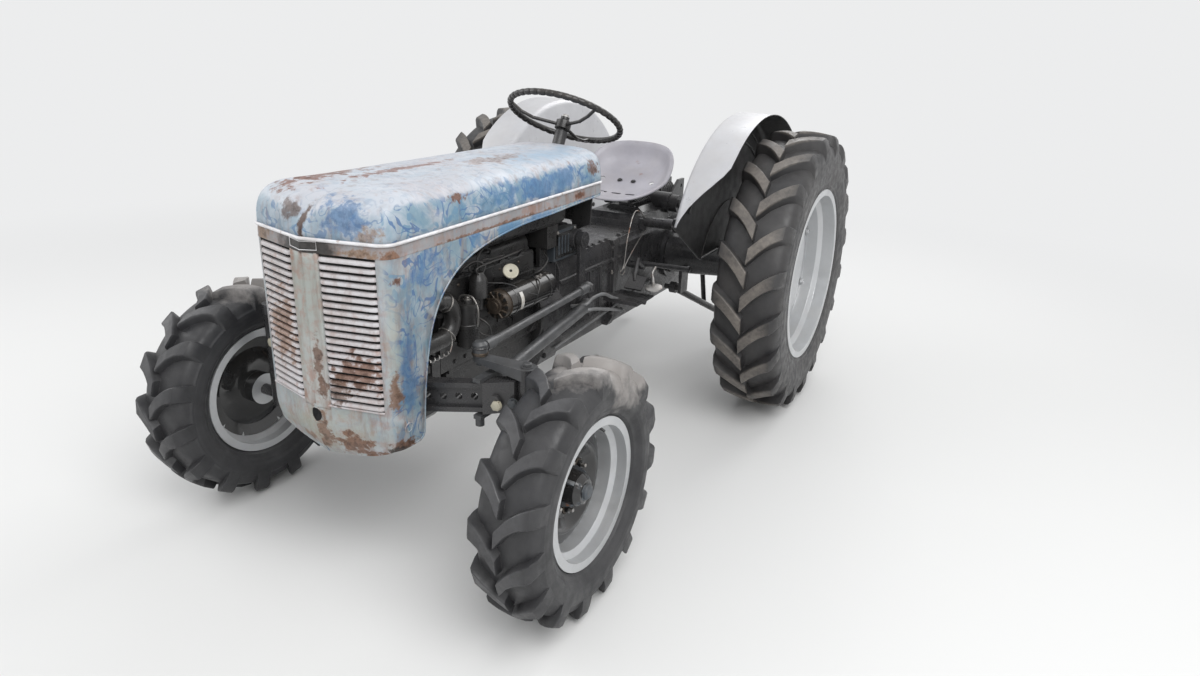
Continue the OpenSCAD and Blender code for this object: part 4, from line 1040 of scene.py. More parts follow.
    def bolt(self, place: Point, way: Point, radius: float, height: float, finish: int = 0,
             washer: float = 1.35) -> "Form":
        """Adds a six-sided bolt head with a domed top on a washer.

        Args:
            place: the middle of its foot.
            way: the direction it points in.
            radius: across its corners, halved.
            height: height over the foot.
            finish: its finish.
            washer: the washer's radius as a share of the head's.

        Returns:
            The form itself.
        """
        kept = self.turn
        self.turn = kept @ Matrix.Translation(place) @ Vector(way).to_track_quat("Z", "Y").to_matrix().to_4x4()
        thin = height * 0.22
        self.turned([(0, radius * washer), (thin, radius * washer), (thin, radius * 0.9)], Axis.Z, 20, finish)
        self.skin([[(*polar(r, 60 * k), z) for k in range(6)]
                   for r, z in ((radius, thin * 0.9), (radius, height * 0.85), (radius * 0.82, height))], finish)
        self.turn = kept
        return self

    def bolts(self, places: Sequence[Point], way: Point, radius: float, height: float, finish: int = 0) -> None:
        """Adds a row of like bolts, one at each place."""
        for place in places:
            self.bolt(place, way, radius, height, finish)

    def node(self, name: str) -> "Form":
        """Adds a CAD node's own surface, with its flat faces joined up.

        Args:
            name: the CAD node.

        Returns:
            The form itself.
        """
        held = bmesh.new()
        held.from_mesh(frame["nodes"][name].data)
        bmesh.ops.remove_doubles(held, verts=held.verts, dist=0.00002)
        bmesh.ops.dissolve_limit(held, angle_limit=math.radians(0.6), verts=held.verts, edges=held.edges, delimit=set())
        back = Matrix.Translation((0, -AXLE_Y / MM, 0)) @ Matrix.Scale(1 / MM, 4)
        spots = {v: self.bm.verts.new(back @ v.co) for v in held.verts}
        for face in held.faces:
            self.face([spots[v] for v in face.verts], 0)
        held.free()
        return self

    def mirrored(self) -> "Form":
        """Adds a copy of everything so far, mirrored across the tractor.

        Returns:
            The form itself.
        """
        made = bmesh.ops.duplicate(self.bm, geom=self.bm.verts[:] + self.bm.edges[:] + self.bm.faces[:])["geom"]
        for vert in (g for g in made if isinstance(g, Vert)):
            vert.co.x = -vert.co.x
        bmesh.ops.reverse_faces(self.bm, faces=[g for g in made if isinstance(g, bmesh.types.BMFace)])
        return self

    def build(self, body: str = "chassis", replaces: Sequence[str] = (), bevel: float = 0.0, steps: int = 2,
              sharp: float = 35.0, solidify: float = 0.0) -> bpy.types.Object:
        """Makes the piece and lets it ride on a body.

        Args:
            body: the body it rides on.
            replaces: CAD nodes that it stands for.
            bevel: width of the rounding of its edges, in millimetres.
            steps: segments of the rounding.
            sharp: edges bent more than this stay sharp, in degrees.
            solidify: thickness given to an open skin, inwards, in millimetres.

        Returns:
            The piece.
        """
        bmesh.ops.recalc_face_normals(self.bm, faces=self.bm.faces)
        self.bm.transform(Matrix.Translation((0, AXLE_Y, 0)) @ Matrix.Scale(MM, 4))
        mesh = bpy.data.meshes.new(self.name)
        self.bm.to_mesh(mesh)
        self.bm.free()
        for finish in self.finishes:
            mesh.materials.append(finish.build())
        piece = placed(self.name, mesh)
        if solidify:
            thick = piece.modifiers.new("sheet", "SOLIDIFY")
            thick.thickness = solidify * MM
            thick.offset = -1
        if bevel:
            round_off = piece.modifiers.new("rounding", "BEVEL")
            round_off.width = bevel * MM
            round_off.segments = steps
            round_off.limit_method = "ANGLE"
            round_off.angle_limit = math.radians(min(32.0, sharp))
            round_off.harden_normals = True
            for face in mesh.polygons:
                face.use_smooth = True
        else:
            mesh.set_sharp_from_angle(angle=math.radians(sharp))
        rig.ride(piece, body)
        if replaces:
            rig.replaces(piece, *replaces)
        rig.slot(piece, self.finishes[0].slot)
        log.info("%s: %d faces", self.name, len(mesh.polygons))
        return piece


Rule = Callable[[Vector, Vector], int]


def carried(node: str, *finishes: Finish, rule: Optional[Rule] = None, bevel: float = 1.6, steps: int = 2) -> None:
    """Replaces a CAD node by its own shape with rounded edges, dressed by a rule.

    Args:
        node: the CAD node.
        finishes: its finishes.
        rule: gives a finish's number for a face's middle and normal, in the tractor's frame; None gives the first.
        bevel: width of the rounding, in millimetres.
        steps: segments of the rounding.
    """
    form = Form(node + "_piece", *finishes).node(node)
    if rule:
        for face in form.bm.faces:
            face.normal_update()
            face.material_index = rule(face.calc_center_median(), face.normal)
    form.build(frame["nodes"][node]["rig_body"], (node,), bevel=bevel, steps=steps)


# bonnet


@dataclass
class BonnetLines:
    """The outline that the bonnet, its band, its panels and the grille share, seen from above."""

    nose_y: float = -2078.0
    front_y: float = -2018.0
    rear_y: float = -838.0
    front_half: float = 244.0
    rear_half: float = 211.0
    corner_r: float = 45.0

    @property
    def slant(self) -> float:
        """Angle of the nose's flat halves."""
        return math.atan2(self.front_y - self.nose_y, self.front_half)

    def point(self, s: float) -> Tuple[float, float, float, float]:
        """The outline at a distance from the nose's middle.

        Args:
            s: distance along it, in millimetres.

        Returns:
            x, y and the outward direction's x and y.
        """
        sweep = math.pi / 2 - self.slant + math.atan2(self.front_half - self.rear_half, self.rear_y - self.front_y)
        flat = self.front_half / math.cos(self.slant) - self.corner_r * math.tan(sweep / 2)
        turn = self.corner_r * sweep
        cos, sin = math.cos(self.slant), math.sin(self.slant)
        if s <= flat:
            return s * cos, self.nose_y + s * sin, sin, -cos
        middle = (flat * cos - self.corner_r * sin, self.nose_y + flat * sin + self.corner_r * cos)
        a = min(s - flat, turn) / self.corner_r + self.slant
        x, y = middle[0] + self.corner_r * math.sin(a), middle[1] - self.corner_r * math.cos(a)
        past = max(0.0, s - flat - turn)
        return x + past * math.cos(a), y + past * math.sin(a), math.sin(a), -math.cos(a)

    def face_point(self, u: float, out: float) -> Pair:
        """A point of the nose's flat half: u along it from the middle, out in front of it."""
        cos, sin = math.cos(self.slant), math.sin(self.slant)
        return u * cos + out * sin, self.nose_y + u * sin - out * cos

    def reach(self, y: float) -> float:
        """Finds the distance along the outline at which it comes to a y.

        Args:
            y: the place along the tractor.

        Returns:
            The distance from the nose's middle.
        """
        low, high = 0.0, 3000.0
        for _ in range(40):
            mid = (low + high) / 2
            low, high = (mid, high) if self.point(mid)[1] < y else (low, mid)
        return low

    def stations(self) -> List[float]:
        """Distances at which the skins are cut: close at the nose and corner, wide along the flank.

        Returns:
            The distances, from the nose's middle to the bonnet's rear.
        """
        near = [0, 3, 7, 12, 18, 25, 34, 45, 60, 80, 105, 130, 155, 180]
        corner = [188 + 5 * i for i in range(20)]
        flank = [290 + 40 * i for i in range(40)]
        end = self.reach(self.rear_y)
        return [s for s in near + corner + flank if s < end - 10] + [end]

    def ring(self, z: Callable[[float], float], out: float) -> List[Point]:
        """A ring round the nose, from the left rear to the right rear.

        Args:
            z: height for a y.
            out: how far outside the outline.

        Returns:
            The ring's points.
        """
        half = []
        for s in self.stations():
            x, y, nx, ny = self.point(s)
            half.append((max(0.0, x + nx * out) if s else 0.0, y + ny * out, z(y)))
        return both_halves(half)


def both_halves(half: Sequence[Point]) -> List[Point]:
    """A line that starts in the middle, with its mirror image before it."""
    return list(half[::-1]) + [(-x, y, z) for x, y, z in half[1:]]


@dataclass
class Bonnet:
    """The nose's two lobes, the long top, the white bead, the band under it and the blank badge."""

    lines: BonnetLines = field(default_factory=BonnetLines)
    bead_z: float = 1058.0
    bead_r: float = 4.7
    crown_z: float = 1178.0
    band_low: float = 1020.0
    band_high: float = 1058.0
    crease: float = 20.0
    crease_half: float = 60.0
    lobe: float = 9.0
    lobe_end: float = 215.0
    spine_start: float = 290.0
    sheet: float = 2.5
    rings: Tuple[Point, ...] = (
        (0, 0, 0.1), (0.6, 0.16, 0.2), (1.6, 0.3, 0.35), (4, 0.44, 0.6), (8, 0.57, 0.85), (14, 0.68, 1), (22, 0.77, 1),
        (32, 0.838, 1), (45, 0.892, 0.95), (62, 0.932, 0.85), (85, 0.963, 0.65), (115, 0.984, 0.4), (150, 0.996, 0.2),
        (185, 1.004, 0.08), (500, 1.02, 0),
    )
    band: Tuple[Pair, ...] = (
        (-4, 1056), (-1.2, 1054), (-0.4, 1046), (0.4, 1038), (0.6, 1030), (0.4, 1025), (1.6, 1022), (1.2, 1020),
        (-1, 1020), (-4, 1023),
    )
    badge: Tuple[Pair, ...] = ((-46, 1029), (0, 1026), (50, 1029), (50, 1051), (0, 1049), (-46, 1051))

    def slope(self, y: float) -> float:
        """How much higher the bonnet is towards the seat."""
        return (y + 2000) * 0.004

    def shell(self) -> None:
        """The pressed top with its two lobes, whose sheet runs in from the outline to the spine."""
        form = Form("bonnet_shell", SHELL_PAINT)
        rows = []
        for inset, share, deep in self.rings:
            half = []
            for s in self.lines.stations():
                x, y, _, ny = self.lines.point(s)
                front = max(0.0, -ny)
                cut = self.crease * deep * (1 - ease(s / self.crease_half))
                lobe = self.lobe * deep * math.sin(math.pi * min(1.0, s / self.lobe_end)) * front
                inward = Vector((-x, max(y, self.lines.nose_y + self.spine_start) - y))
                inward *= min(1.0, inset * (1 + 0.5 * front) / inward.length)
                z = self.bead_z + (self.crown_z - self.bead_z) * share - cut * 0.7 + self.slope(y)
                half.append((x + inward.x if s else 0.0, y + inward.y + cut - lobe * 0.6, z))
            rows.append(both_halves(half))
        form.skin(rows, closed=False)
        bmesh.ops.remove_doubles(form.bm, verts=form.bm.verts, dist=0.05)
        form.build("bonnet", ("bonnet_top",), sharp=180, solidify=self.sheet)

    def bead_line(self) -> None:
        """The white bead along the shell's foot."""
        path = self.lines.ring(lambda y: self.bead_z + self.slope(y) - 1, 1.2)
        Form("bonnet_bead", BEAD_PAINT).tube(path, self.bead_r, 12).build("bonnet", sharp=180)

    def band_sheet(self) -> None:
        """The band under the bead, with its rolled foot."""
        rows = []
        for out, z in self.band:
            share = (z - self.band_low) / (self.band_high - self.band_low)
            rows.append(self.lines.ring(lambda y, z=z, share=share: z + self.slope(y) * share, out))
        form = Form("bonnet_band_sheet", BAND_PAINT).skin(rows, closed=False)
        form.build("bonnet", ("bonnet_band",), sharp=50)

    def badge_frame(self) -> None:
        """The thin frame round the blank badge on the nose."""
        corners = []
        for s, z in self.badge:
            x, y, nx, ny = self.lines.point(abs(s))
            corners.append((math.copysign(x + nx * 0.9, s), y + ny * 0.9, z))
        Form("blank_badge", BEAD_PAINT).tube(corners + corners[:1], 1.1, 8).build("bonnet", sharp=60)

    def build(self) -> None:
        """Builds the bonnet's upper parts."""
        self.shell()
        self.bead_line()
        self.band_sheet()
        self.badge_frame()


@dataclass
class NoseSkin:
    """The sheet below the band: apron, posts and side panels in one pressing, with the louvres and the strip."""

    lines: BonnetLines = field(default_factory=BonnetLines)
    band_z: float = 1021.0
    ledge_z: float = 588.0
    chin_z: float = 548.0
    apron_z: float = 425.0
    tuck: float = 36.0
    tuck_end: Pair = (215.0, 110.0)
    post_in: float = 215.0
    louvres: int = 21
    hinge: Pair = (-1973.0, 535.0)
    hinge_share: float = 0.038
    crank_r: float = 22.0
    crank_z: float = 555.0
    arch: Tuple[Pair, ...] = (
        (0.0966, 510), (0.105, 410), (0.1186, 313), (0.1441, 216), (0.189, 138), (0.2686, 75), (0.3797, 41),
        (0.532, 22), (0.705, 18), (0.833, 12), (0.992, 8),
    )
    foot: Tuple[Pair, ...] = (
        (0, 425), (60, 426), (120, 431), (165, 441), (200, 455), (230, 468), (262, 474), (300, 475),
    )
    strip_half: Tuple[Pair, ...] = (
        (0, -4), (2.5, -3.4), (5, -0.4), (8, 0.4), (38, 0.6), (41, 1.4), (43, 3.6), (46, 3.8), (48, 1.4), (51, -1),
        (52, -5),
    )
    slat_front: Tuple[Pair, ...] = (
        (-3.5, 10.8), (-0.6, 10.4), (2.4, 9.0), (4.8, 6.8), (6.2, 3.9), (6.6, 1.0), (5.9, -0.6),
    )
    slat_depths: Tuple[Pair, ...] = (
        (50, 0.12), (53, 0.35), (57, 0.75), (63, 0.97), (70, 1.0), (130, 1.0), (195, 1.0), (202, 0.97), (208, 0.75),
        (213, 0.3), (216, 0.12),
    )

    def at_share(self, share: float) -> float:
        """Distance along the outline of a share of the panel's length."""
        return self.lines.reach(self.lines.front_y + share * (self.lines.rear_y - self.lines.front_y))

    def arch_points(self) -> List[Pair]:
        """The arch's edge as distance and height, from its foot to the rear."""
        return smooth_edge([(self.at_share(share), self.band_z - drop) for share, drop in self.arch], 5)

    def foot_points(self) -> List[Pair]:
        """The lower edge as distance and height, from the middle to the panel's rear corner."""
        end = self.at_share(self.arch[0][0])
        return smooth_edge(self.foot, 4) + [(end - 22, 476), (end - 9, 482), (end - 2, 494)]

    def place(self, s: float, z: float, out: float = 0.0) -> Vector:
        """Bends a flat point round the nose, tucked in at the chin.

        Args:
            s: distance along the outline from the middle.
            z: height.
            out: distance outside the sheet.

        Returns:
            The point.
        """
        x, y, nx, ny = self.lines.point(s)
        share = max(0.0, min(1.0, (self.chin_z - z) / (self.chin_z - self.apron_z)))
        start, length = self.tuck_end
        out -= self.tuck * share ** 2.2 * (1 - ease((s - start) / length))
        return Vector((max(0.0, x + nx * out) if s else 0.0, y + ny * out, z))

    def flat_outline(self) -> List[Pair]:
        """The left half of the sheet laid flat, with half of the crank hole cut out.

        Returns:
            Its corners as distance from the middle and height.
        """
        end = self.lines.reach(self.lines.rear_y)
        top = [(end, self.band_z - 8), (end, self.band_z), (self.post_in, self.band_z), (self.post_in, self.ledge_z),
               (0.0, self.ledge_z), (0.0, self.crank_z + self.crank_r)]
        hole = [polar(self.crank_r, a) for a in range(75, -90, -15)]
        return (self.foot_points() + self.arch_points() + top + [(s * 0.9, self.crank_z + z) for s, z in hole]
                + [(0.0, self.crank_z - self.crank_r)])

    def skin(self) -> None:
        """The sheet itself, both halves: cut flat, sliced at the outline's stations and bent round the nose."""
        form = Form("nose_skin", PANEL_PAINT)
        bm = form.bm
        face = bm.faces.new([bm.verts.new((s, 0.0, z)) for s, z in self.flat_outline()])
        face.normal_update()
        bmesh.ops.triangulate(bm, faces=[face])
        cuts = [((s, 0, 0), (1, 0, 0)) for s in self.lines.stations()[1:-1]]
        cuts += [((0, 0, z), (0, 0, 1)) for z in range(432, 585, 8)]
        for place, way in cuts:
            bmesh.ops.bisect_plane(bm, geom=bm.verts[:] + bm.edges[:] + bm.faces[:], plane_co=place, plane_no=way,
                                   dist=0.01)
        for vert in bm.verts:
            vert.co = self.place(vert.co.x, vert.co.z)
        for face in bm.faces:
            face.smooth = True
        form.mirrored().build("bonnet", ("side_panels",), sharp=70, solidify=2.2)

    def edges(self) -> None:
        """The rolled edges of the arch and the chin, the hinge's eye and pin, and the ring of the crank hole."""
        form = Form("rolled_edges", PANEL_PAINT, CHASSIS_BLACK)
        rim = self.foot_points() + self.arch_points()
        form.tube([self.place(s, z, -1.6) for s, z in rim if s > 0], 3.4, 10)
        form.at((self.lines.point(self.at_share(self.hinge_share))[0], *self.hinge), z=-1.6)
        form.turned([(-3, 12), (1.6, 11.5), (2.4, 12.6), (1.6, 14.4), (-1, 15.5)], Axis.X, 28, ring=True)
        form.turned([(-60, 9), (-4, 9), (-2.5, 7), (-2.5, 0)], Axis.X, 20, 1)
        form.at().mirrored().at((0, self.lines.nose_y, self.crank_z))
        turns = [polar(1.0, 360 * i / 32) for i in range(33)]
        form.tube([(20.5 * cos, 5.0 * abs(cos) + 0.6, 22.5 * sin) for cos, sin in turns], 2.0, 10, ends=False)
        form.build("bonnet", sharp=50)

    def strip(self) -> None:
        """The centre strip with its groove and two raised lines."""
        half = [(*self.lines.face_point(u, out), 0.0) for u, out in self.strip_half]
        levels = (578, 584, 700, 850, 1000, self.band_z)
        form = Form("centre_strip", STRIP_PAINT)
        form.skin([[(-x, y, z) for x, y, _ in both_halves(half)] for z in levels], closed=False)
        form.build("bonnet", ("grille",), sharp=180, solidify=1.5)

    def slats(self) -> None:
        """The pressed louvres of both halves, on their ledge."""
        form = Form("louvres", LOUVRE_PAINT)
        root = self.slat_front[0][0]
        section = list(self.slat_front) + [(out - 1.8, z + 0.4) for out, z in self.slat_front[::-1][1:-1]]
        pitch = (self.band_z - self.ledge_z - 8) / self.louvres
        for i in range(self.louvres):
            base = self.ledge_z + 9 + i * pitch
            form.skin([[(*self.lines.face_point(u, (out - root) * share + root), base + z) for out, z in section]
                       for u, share in self.slat_depths])
        ledge = [(*self.lines.face_point(u, 1.5), self.ledge_z + 2) for u in (46, 130, 217)]
        form.tube(ledge, 3.6, 10).mirrored().build("bonnet", sharp=40)

    def build(self) -> None:
        """Builds the nose below the band."""
        self.skin()
        self.edges()
        self.strip()
        self.slats()


# wheels and tyres

Lug = Tuple[float, float, float, float, float]


@dataclass
class Tyre:
    """One ribbed farm tyre with its two rows of lugs."""

    node: str
    centre: Point
    radius: float
    width: float
    seat: Pair
    flange: float
    lug_h: float
    lugs: int
    stations: Tuple[Lug, ...]
    draft: float
    tread_dust: Rgb
    tread_amount: float
    mud: Tuple[Blotch, ...] = ()
    lug_steps: int = 14

    def finish(self) -> TyreFinish:
        """The tyre's rubber, whose dust starts part of the way up the lugs.

        Returns:
            The finish.
        """
        x, y, z = self.centre
        reach = ((self.radius - self.lug_h * 0.45) * MM, (self.radius - 2) * MM)
        return TyreFinish(
            f"{self.node} rubber", "tyre_rubber", (0.018, 0.018, 0.02), (0.032, 0.032, 0.034), patch_scale=7.0,
            roughness=(0.34, 0.62), edge=(0.1, 0.1, 0.1), edge_width=0.004, dust=(0.1, 0.097, 0.097),
            dust_amount=0.2, grain_scale=420.0, grain_depth=0.3, centre=(x * MM, y * MM + AXLE_Y, z * MM), reach=reach,
            tread_dust=self.tread_dust, tread_amount=self.tread_amount, mud=self.mud,
        )

    def wall(self) -> List[Pair]:
        """Half of the section, from the bead to the middle of the tread.

        Returns:
            Its points as place along the axle and radius.
        """
        half, (seat_r, seat_half) = self.width / 2, self.seat
        core, flange = self.radius - self.lug_h, seat_r + self.flange
        rough = [
            (flange + 2, seat_half + 1), (flange + 8, seat_half + 8), (flange + (core - flange) * 0.3, half * 0.975),
            (flange + (core - flange) * 0.5, half), (core - 46, half * 0.955), (core - 16, half * 0.8),
            (core - 4, half * 0.45), (core, 0),
        ]
        ribs = ((11, 2.6, 3.0), (21, -1.4, 3.0), (34, 1.6, 2.5), ((core - flange) * 0.62, 1.6, 3.0))
        made = [(seat_half, seat_r), (seat_half, flange + 1)]
        for r, x in smooth_edge(rough, 9):
            rib = sum(high * math.exp(-(((r - flange - at) / wide) ** 2)) for at, high, wide in ribs)
            made.append((min(half, x + rib), r))
        return made

    def lug(self, form: Form, angle: float, side: int) -> None:
        """Adds one curved lug.

        Args:
            form: the tyre's form.
            angle: where it stands, in degrees.
            side: 1 or -1, the side of the tread.
        """
        start, end = self.stations[0][0], self.stations[-1][0]
        rings = []
        for i in range(self.lug_steps + 1):
            share = start + (end - start) * i / self.lug_steps
            back, top_drop, foot_drop, wide = between(self.stations, share)
            top, foot = self.radius - top_drop, self.radius - self.lug_h - foot_drop
            flank = [(foot, wide / 2 + self.draft), (top - 7, wide / 2 + 2.2), (top - 1.6, wide / 2 - 0.4),
                     (top, wide / 2 - 3.5)]
            lean = back * 360 / self.lugs
            ring = []
            for r, off in [(r, -off) for r, off in flank] + flank[::-1]:
                y, z = polar(-r, math.degrees(off / self.radius) - lean + angle)
                ring.append((side * share * self.width / 2, y, z))
            rings.append(ring)
        form.skin(rings)

    def build(self) -> None:
        """Builds the tyre."""
        form = Form(self.node + "_rubber", self.finish()).at(self.centre)
        half = self.wall()
        form.turned(half + [(-x, r) for x, r in half[::-1][1:]], Axis.X, 120, ring=True)
        for i in range(self.lugs):
            for side, shift in ((1, 0.0), (-1, 0.5)):
                self.lug(form, 90 + (i + shift) * 360 / self.lugs, side)
        form.build(frame["nodes"][self.node]["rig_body"], (self.node,), sharp=30)


@dataclass
class Wheels:
    """The four wheels and their tyres, with valves, bolts and hubs."""

    wheelbase: float = 1778.0
    half_rear: float = 720.0
    half_front: float = 655.0
    rear_r: float = 611.0
    front_r: float = 378.0
    dish_r: float = 170.0
    hub_face: Pair = (67.0, 75.0)
    nut_circle: float = 76.0
    stud_circle: float = 102.0
    lug_circle: float = 322.0
    rear_lug: Tuple[Lug, ...] = (
        (-0.03, 0.00, 0, 12, 62), (0.12, 0.125, 0, 12, 59), (0.25, 0.24, 0, 12, 56), (0.4, 0.345, 1.5, 14, 54),
        (0.55, 0.44, 4, 18, 54), (0.7, 0.515, 7, 26, 56), (0.86, 0.58, 11, 37, 58), (0.94, 0.61, 26, 50, 57),
        (0.99, 0.64, 56, 66, 54),
    )
    front_lug: Tuple[Lug, ...] = (
        (-0.03, 0.00, 0, 10, 46), (0.12, 0.125, 0, 10, 44), (0.25, 0.24, 0, 10, 43), (0.4, 0.325, 1.5, 12.5, 44),
        (0.55, 0.4, 3, 16, 46), (0.7, 0.45, 6, 24, 50), (0.86, 0.49, 10, 34, 54), (0.94, 0.51, 20, 43, 54),
        (0.99, 0.53, 44, 54, 52),
    )

    def tyres(self, side: Side) -> None:
        """Builds one side's tyres; the front one carries dried mud on top.

        Args:
            side: the side.
        """
        rear = (side.value * self.half_rear, 0.0, self.rear_r)
        front = x, y, z = (side.value * self.half_front, -self.wheelbase, self.front_r)
        mud = (
            Blotch((x, y + 60, z + 370), (150, 160, 90), (0.33, 0.31, 0.295), 0.92, 0.35, 11.0),
            Blotch((x + 60, y + 190, z + 300), (130, 150, 110), (0.29, 0.27, 0.255), 0.85, 0.4, 12.0),
        )
        Tyre(f"rear_tyre_{side.word}", rear, self.rear_r, 280.0, (356.0, 120.0), 20.0, 34.0, 20, self.rear_lug, 12.0,
             (0.26, 0.23, 0.2), 0.7).build()
        Tyre(f"front_tyre_{side.word}", front, self.front_r, 200.0, (203.0, 68.0), 19.0, 27.0, 15, self.front_lug, 9.0,
             (0.1, 0.1, 0.104), 0.55, mud).build()

    def front_rule(self, middle: Vector, normal: Vector) -> int:
        """Silver rim and flange, black dish and hub."""
        radius = math.hypot(middle.y + self.wheelbase, middle.z - self.front_r)
        low, high = self.hub_face
        return int(radius <= self.dish_r and not low < abs(abs(middle.x) - self.half_front) < high)

    def front(self, side: Side) -> None:
        """Dresses a front wheel: arms over the hub, washers, nuts and valve.

        Args:
            side: the wheel's side.
        """
        s = side.value
        centre = (s * self.half_front, -self.wheelbase, self.front_r)
        # The hub's finish paints highlights along the arms' edges.
        hub = Form(f"front_hub_{side.word}", HUB_PAINT_WITH_HIGHLIGHTS, RIM_BLACK, BARE_STEEL, BRASS).at(centre)
        for i in range(4):
            way, across = Vector((0, *polar(1.0, 45 + 90 * i))), Vector((0, *polar(1.0, 135 + 90 * i)))
            rings = []
            for reach, wide, high in ((16, 17, 52), (38, 12, 42), (54, 8, 20), (62, 5, -6)):
                rings.append([way * reach + across * wide * share + Vector((s * out, 0, 0))
                              for share, out in ((1, -16), (0.7, high), (-0.7, high), (-1, -16))])
            hub.skin(rings)
        hub.turned([(s * 40, 26), (s * 55, 23), (s * 60, 15), (s * 60, 0)], Axis.X, 24)
        for i in range(6):
            z, y = polar(self.nut_circle, 60 * i)
            hub.at((centre[0], centre[1] - y, centre[2] + z))
            hub.turned([(s * -20, 17), (s * -17.5, 17), (s * -16, 14)], Axis.X, 20, 3)
            hub.turned([(s * -5, 6.5), (s * 6, 6.5), (s * 8, 4.5), (s * 8, 0)], Axis.X, 14, 2)
        hub.at(centre).tube([(s * 34, 60, 176), (s * 52, 66, 168), (s * 62, 70, 160)], 4, 10, 1)
        hub.build(f"front_wheel_{side.word}", bevel=2.2)

    def rear(self, side: Side) -> None:
        """Dresses a rear wheel: nuts and studs, rim bolts and valve.

        Args:
            side: the wheel's side.
        """
        s = side.value
        form = Form(f"rear_studs_{side.word}", SILVER, BARE_STEEL)
        for i in range(8):
            z, y = polar(self.stud_circle, 45 * i)
            form.at((0, -y, self.rear_r + z))
            form.turned([(s * 603, 21), (s * 607, 21), (s * 609, 17)], Axis.X, 20)
            form.turned([(s * 620, 8), (s * 632, 8), (s * 634, 6), (s * 634, 0)], Axis.X, 14, 1)
        form.at((0, 0, self.rear_r))
        for i in range(8):
            z, y = polar(self.lug_circle, 45 * i + 22.5)
            form.bolt((s * 722, -y, z), (s, 0, 0), 13, 11)
        form.tube([(s * 746, 70, 330), (s * 772, 76, 322), (s * 790, 80, 314)], 4.5, 10, 1)
        form.build(f"rear_wheel_{side.word}", bevel=1.2)

    def build(self) -> None:
        """Builds wheels and tyres on both sides."""
        for side in Side:
            self.tyres(side)
            carried(f"front_wheel_{side.word}", SILVER, RIM_BLACK, rule=self.front_rule, bevel=2.0)
            carried(f"rear_wheel_{side.word}", SILVER, bevel=2.0)
            self.front(side)
            self.rear(side)


# engine and its dressing


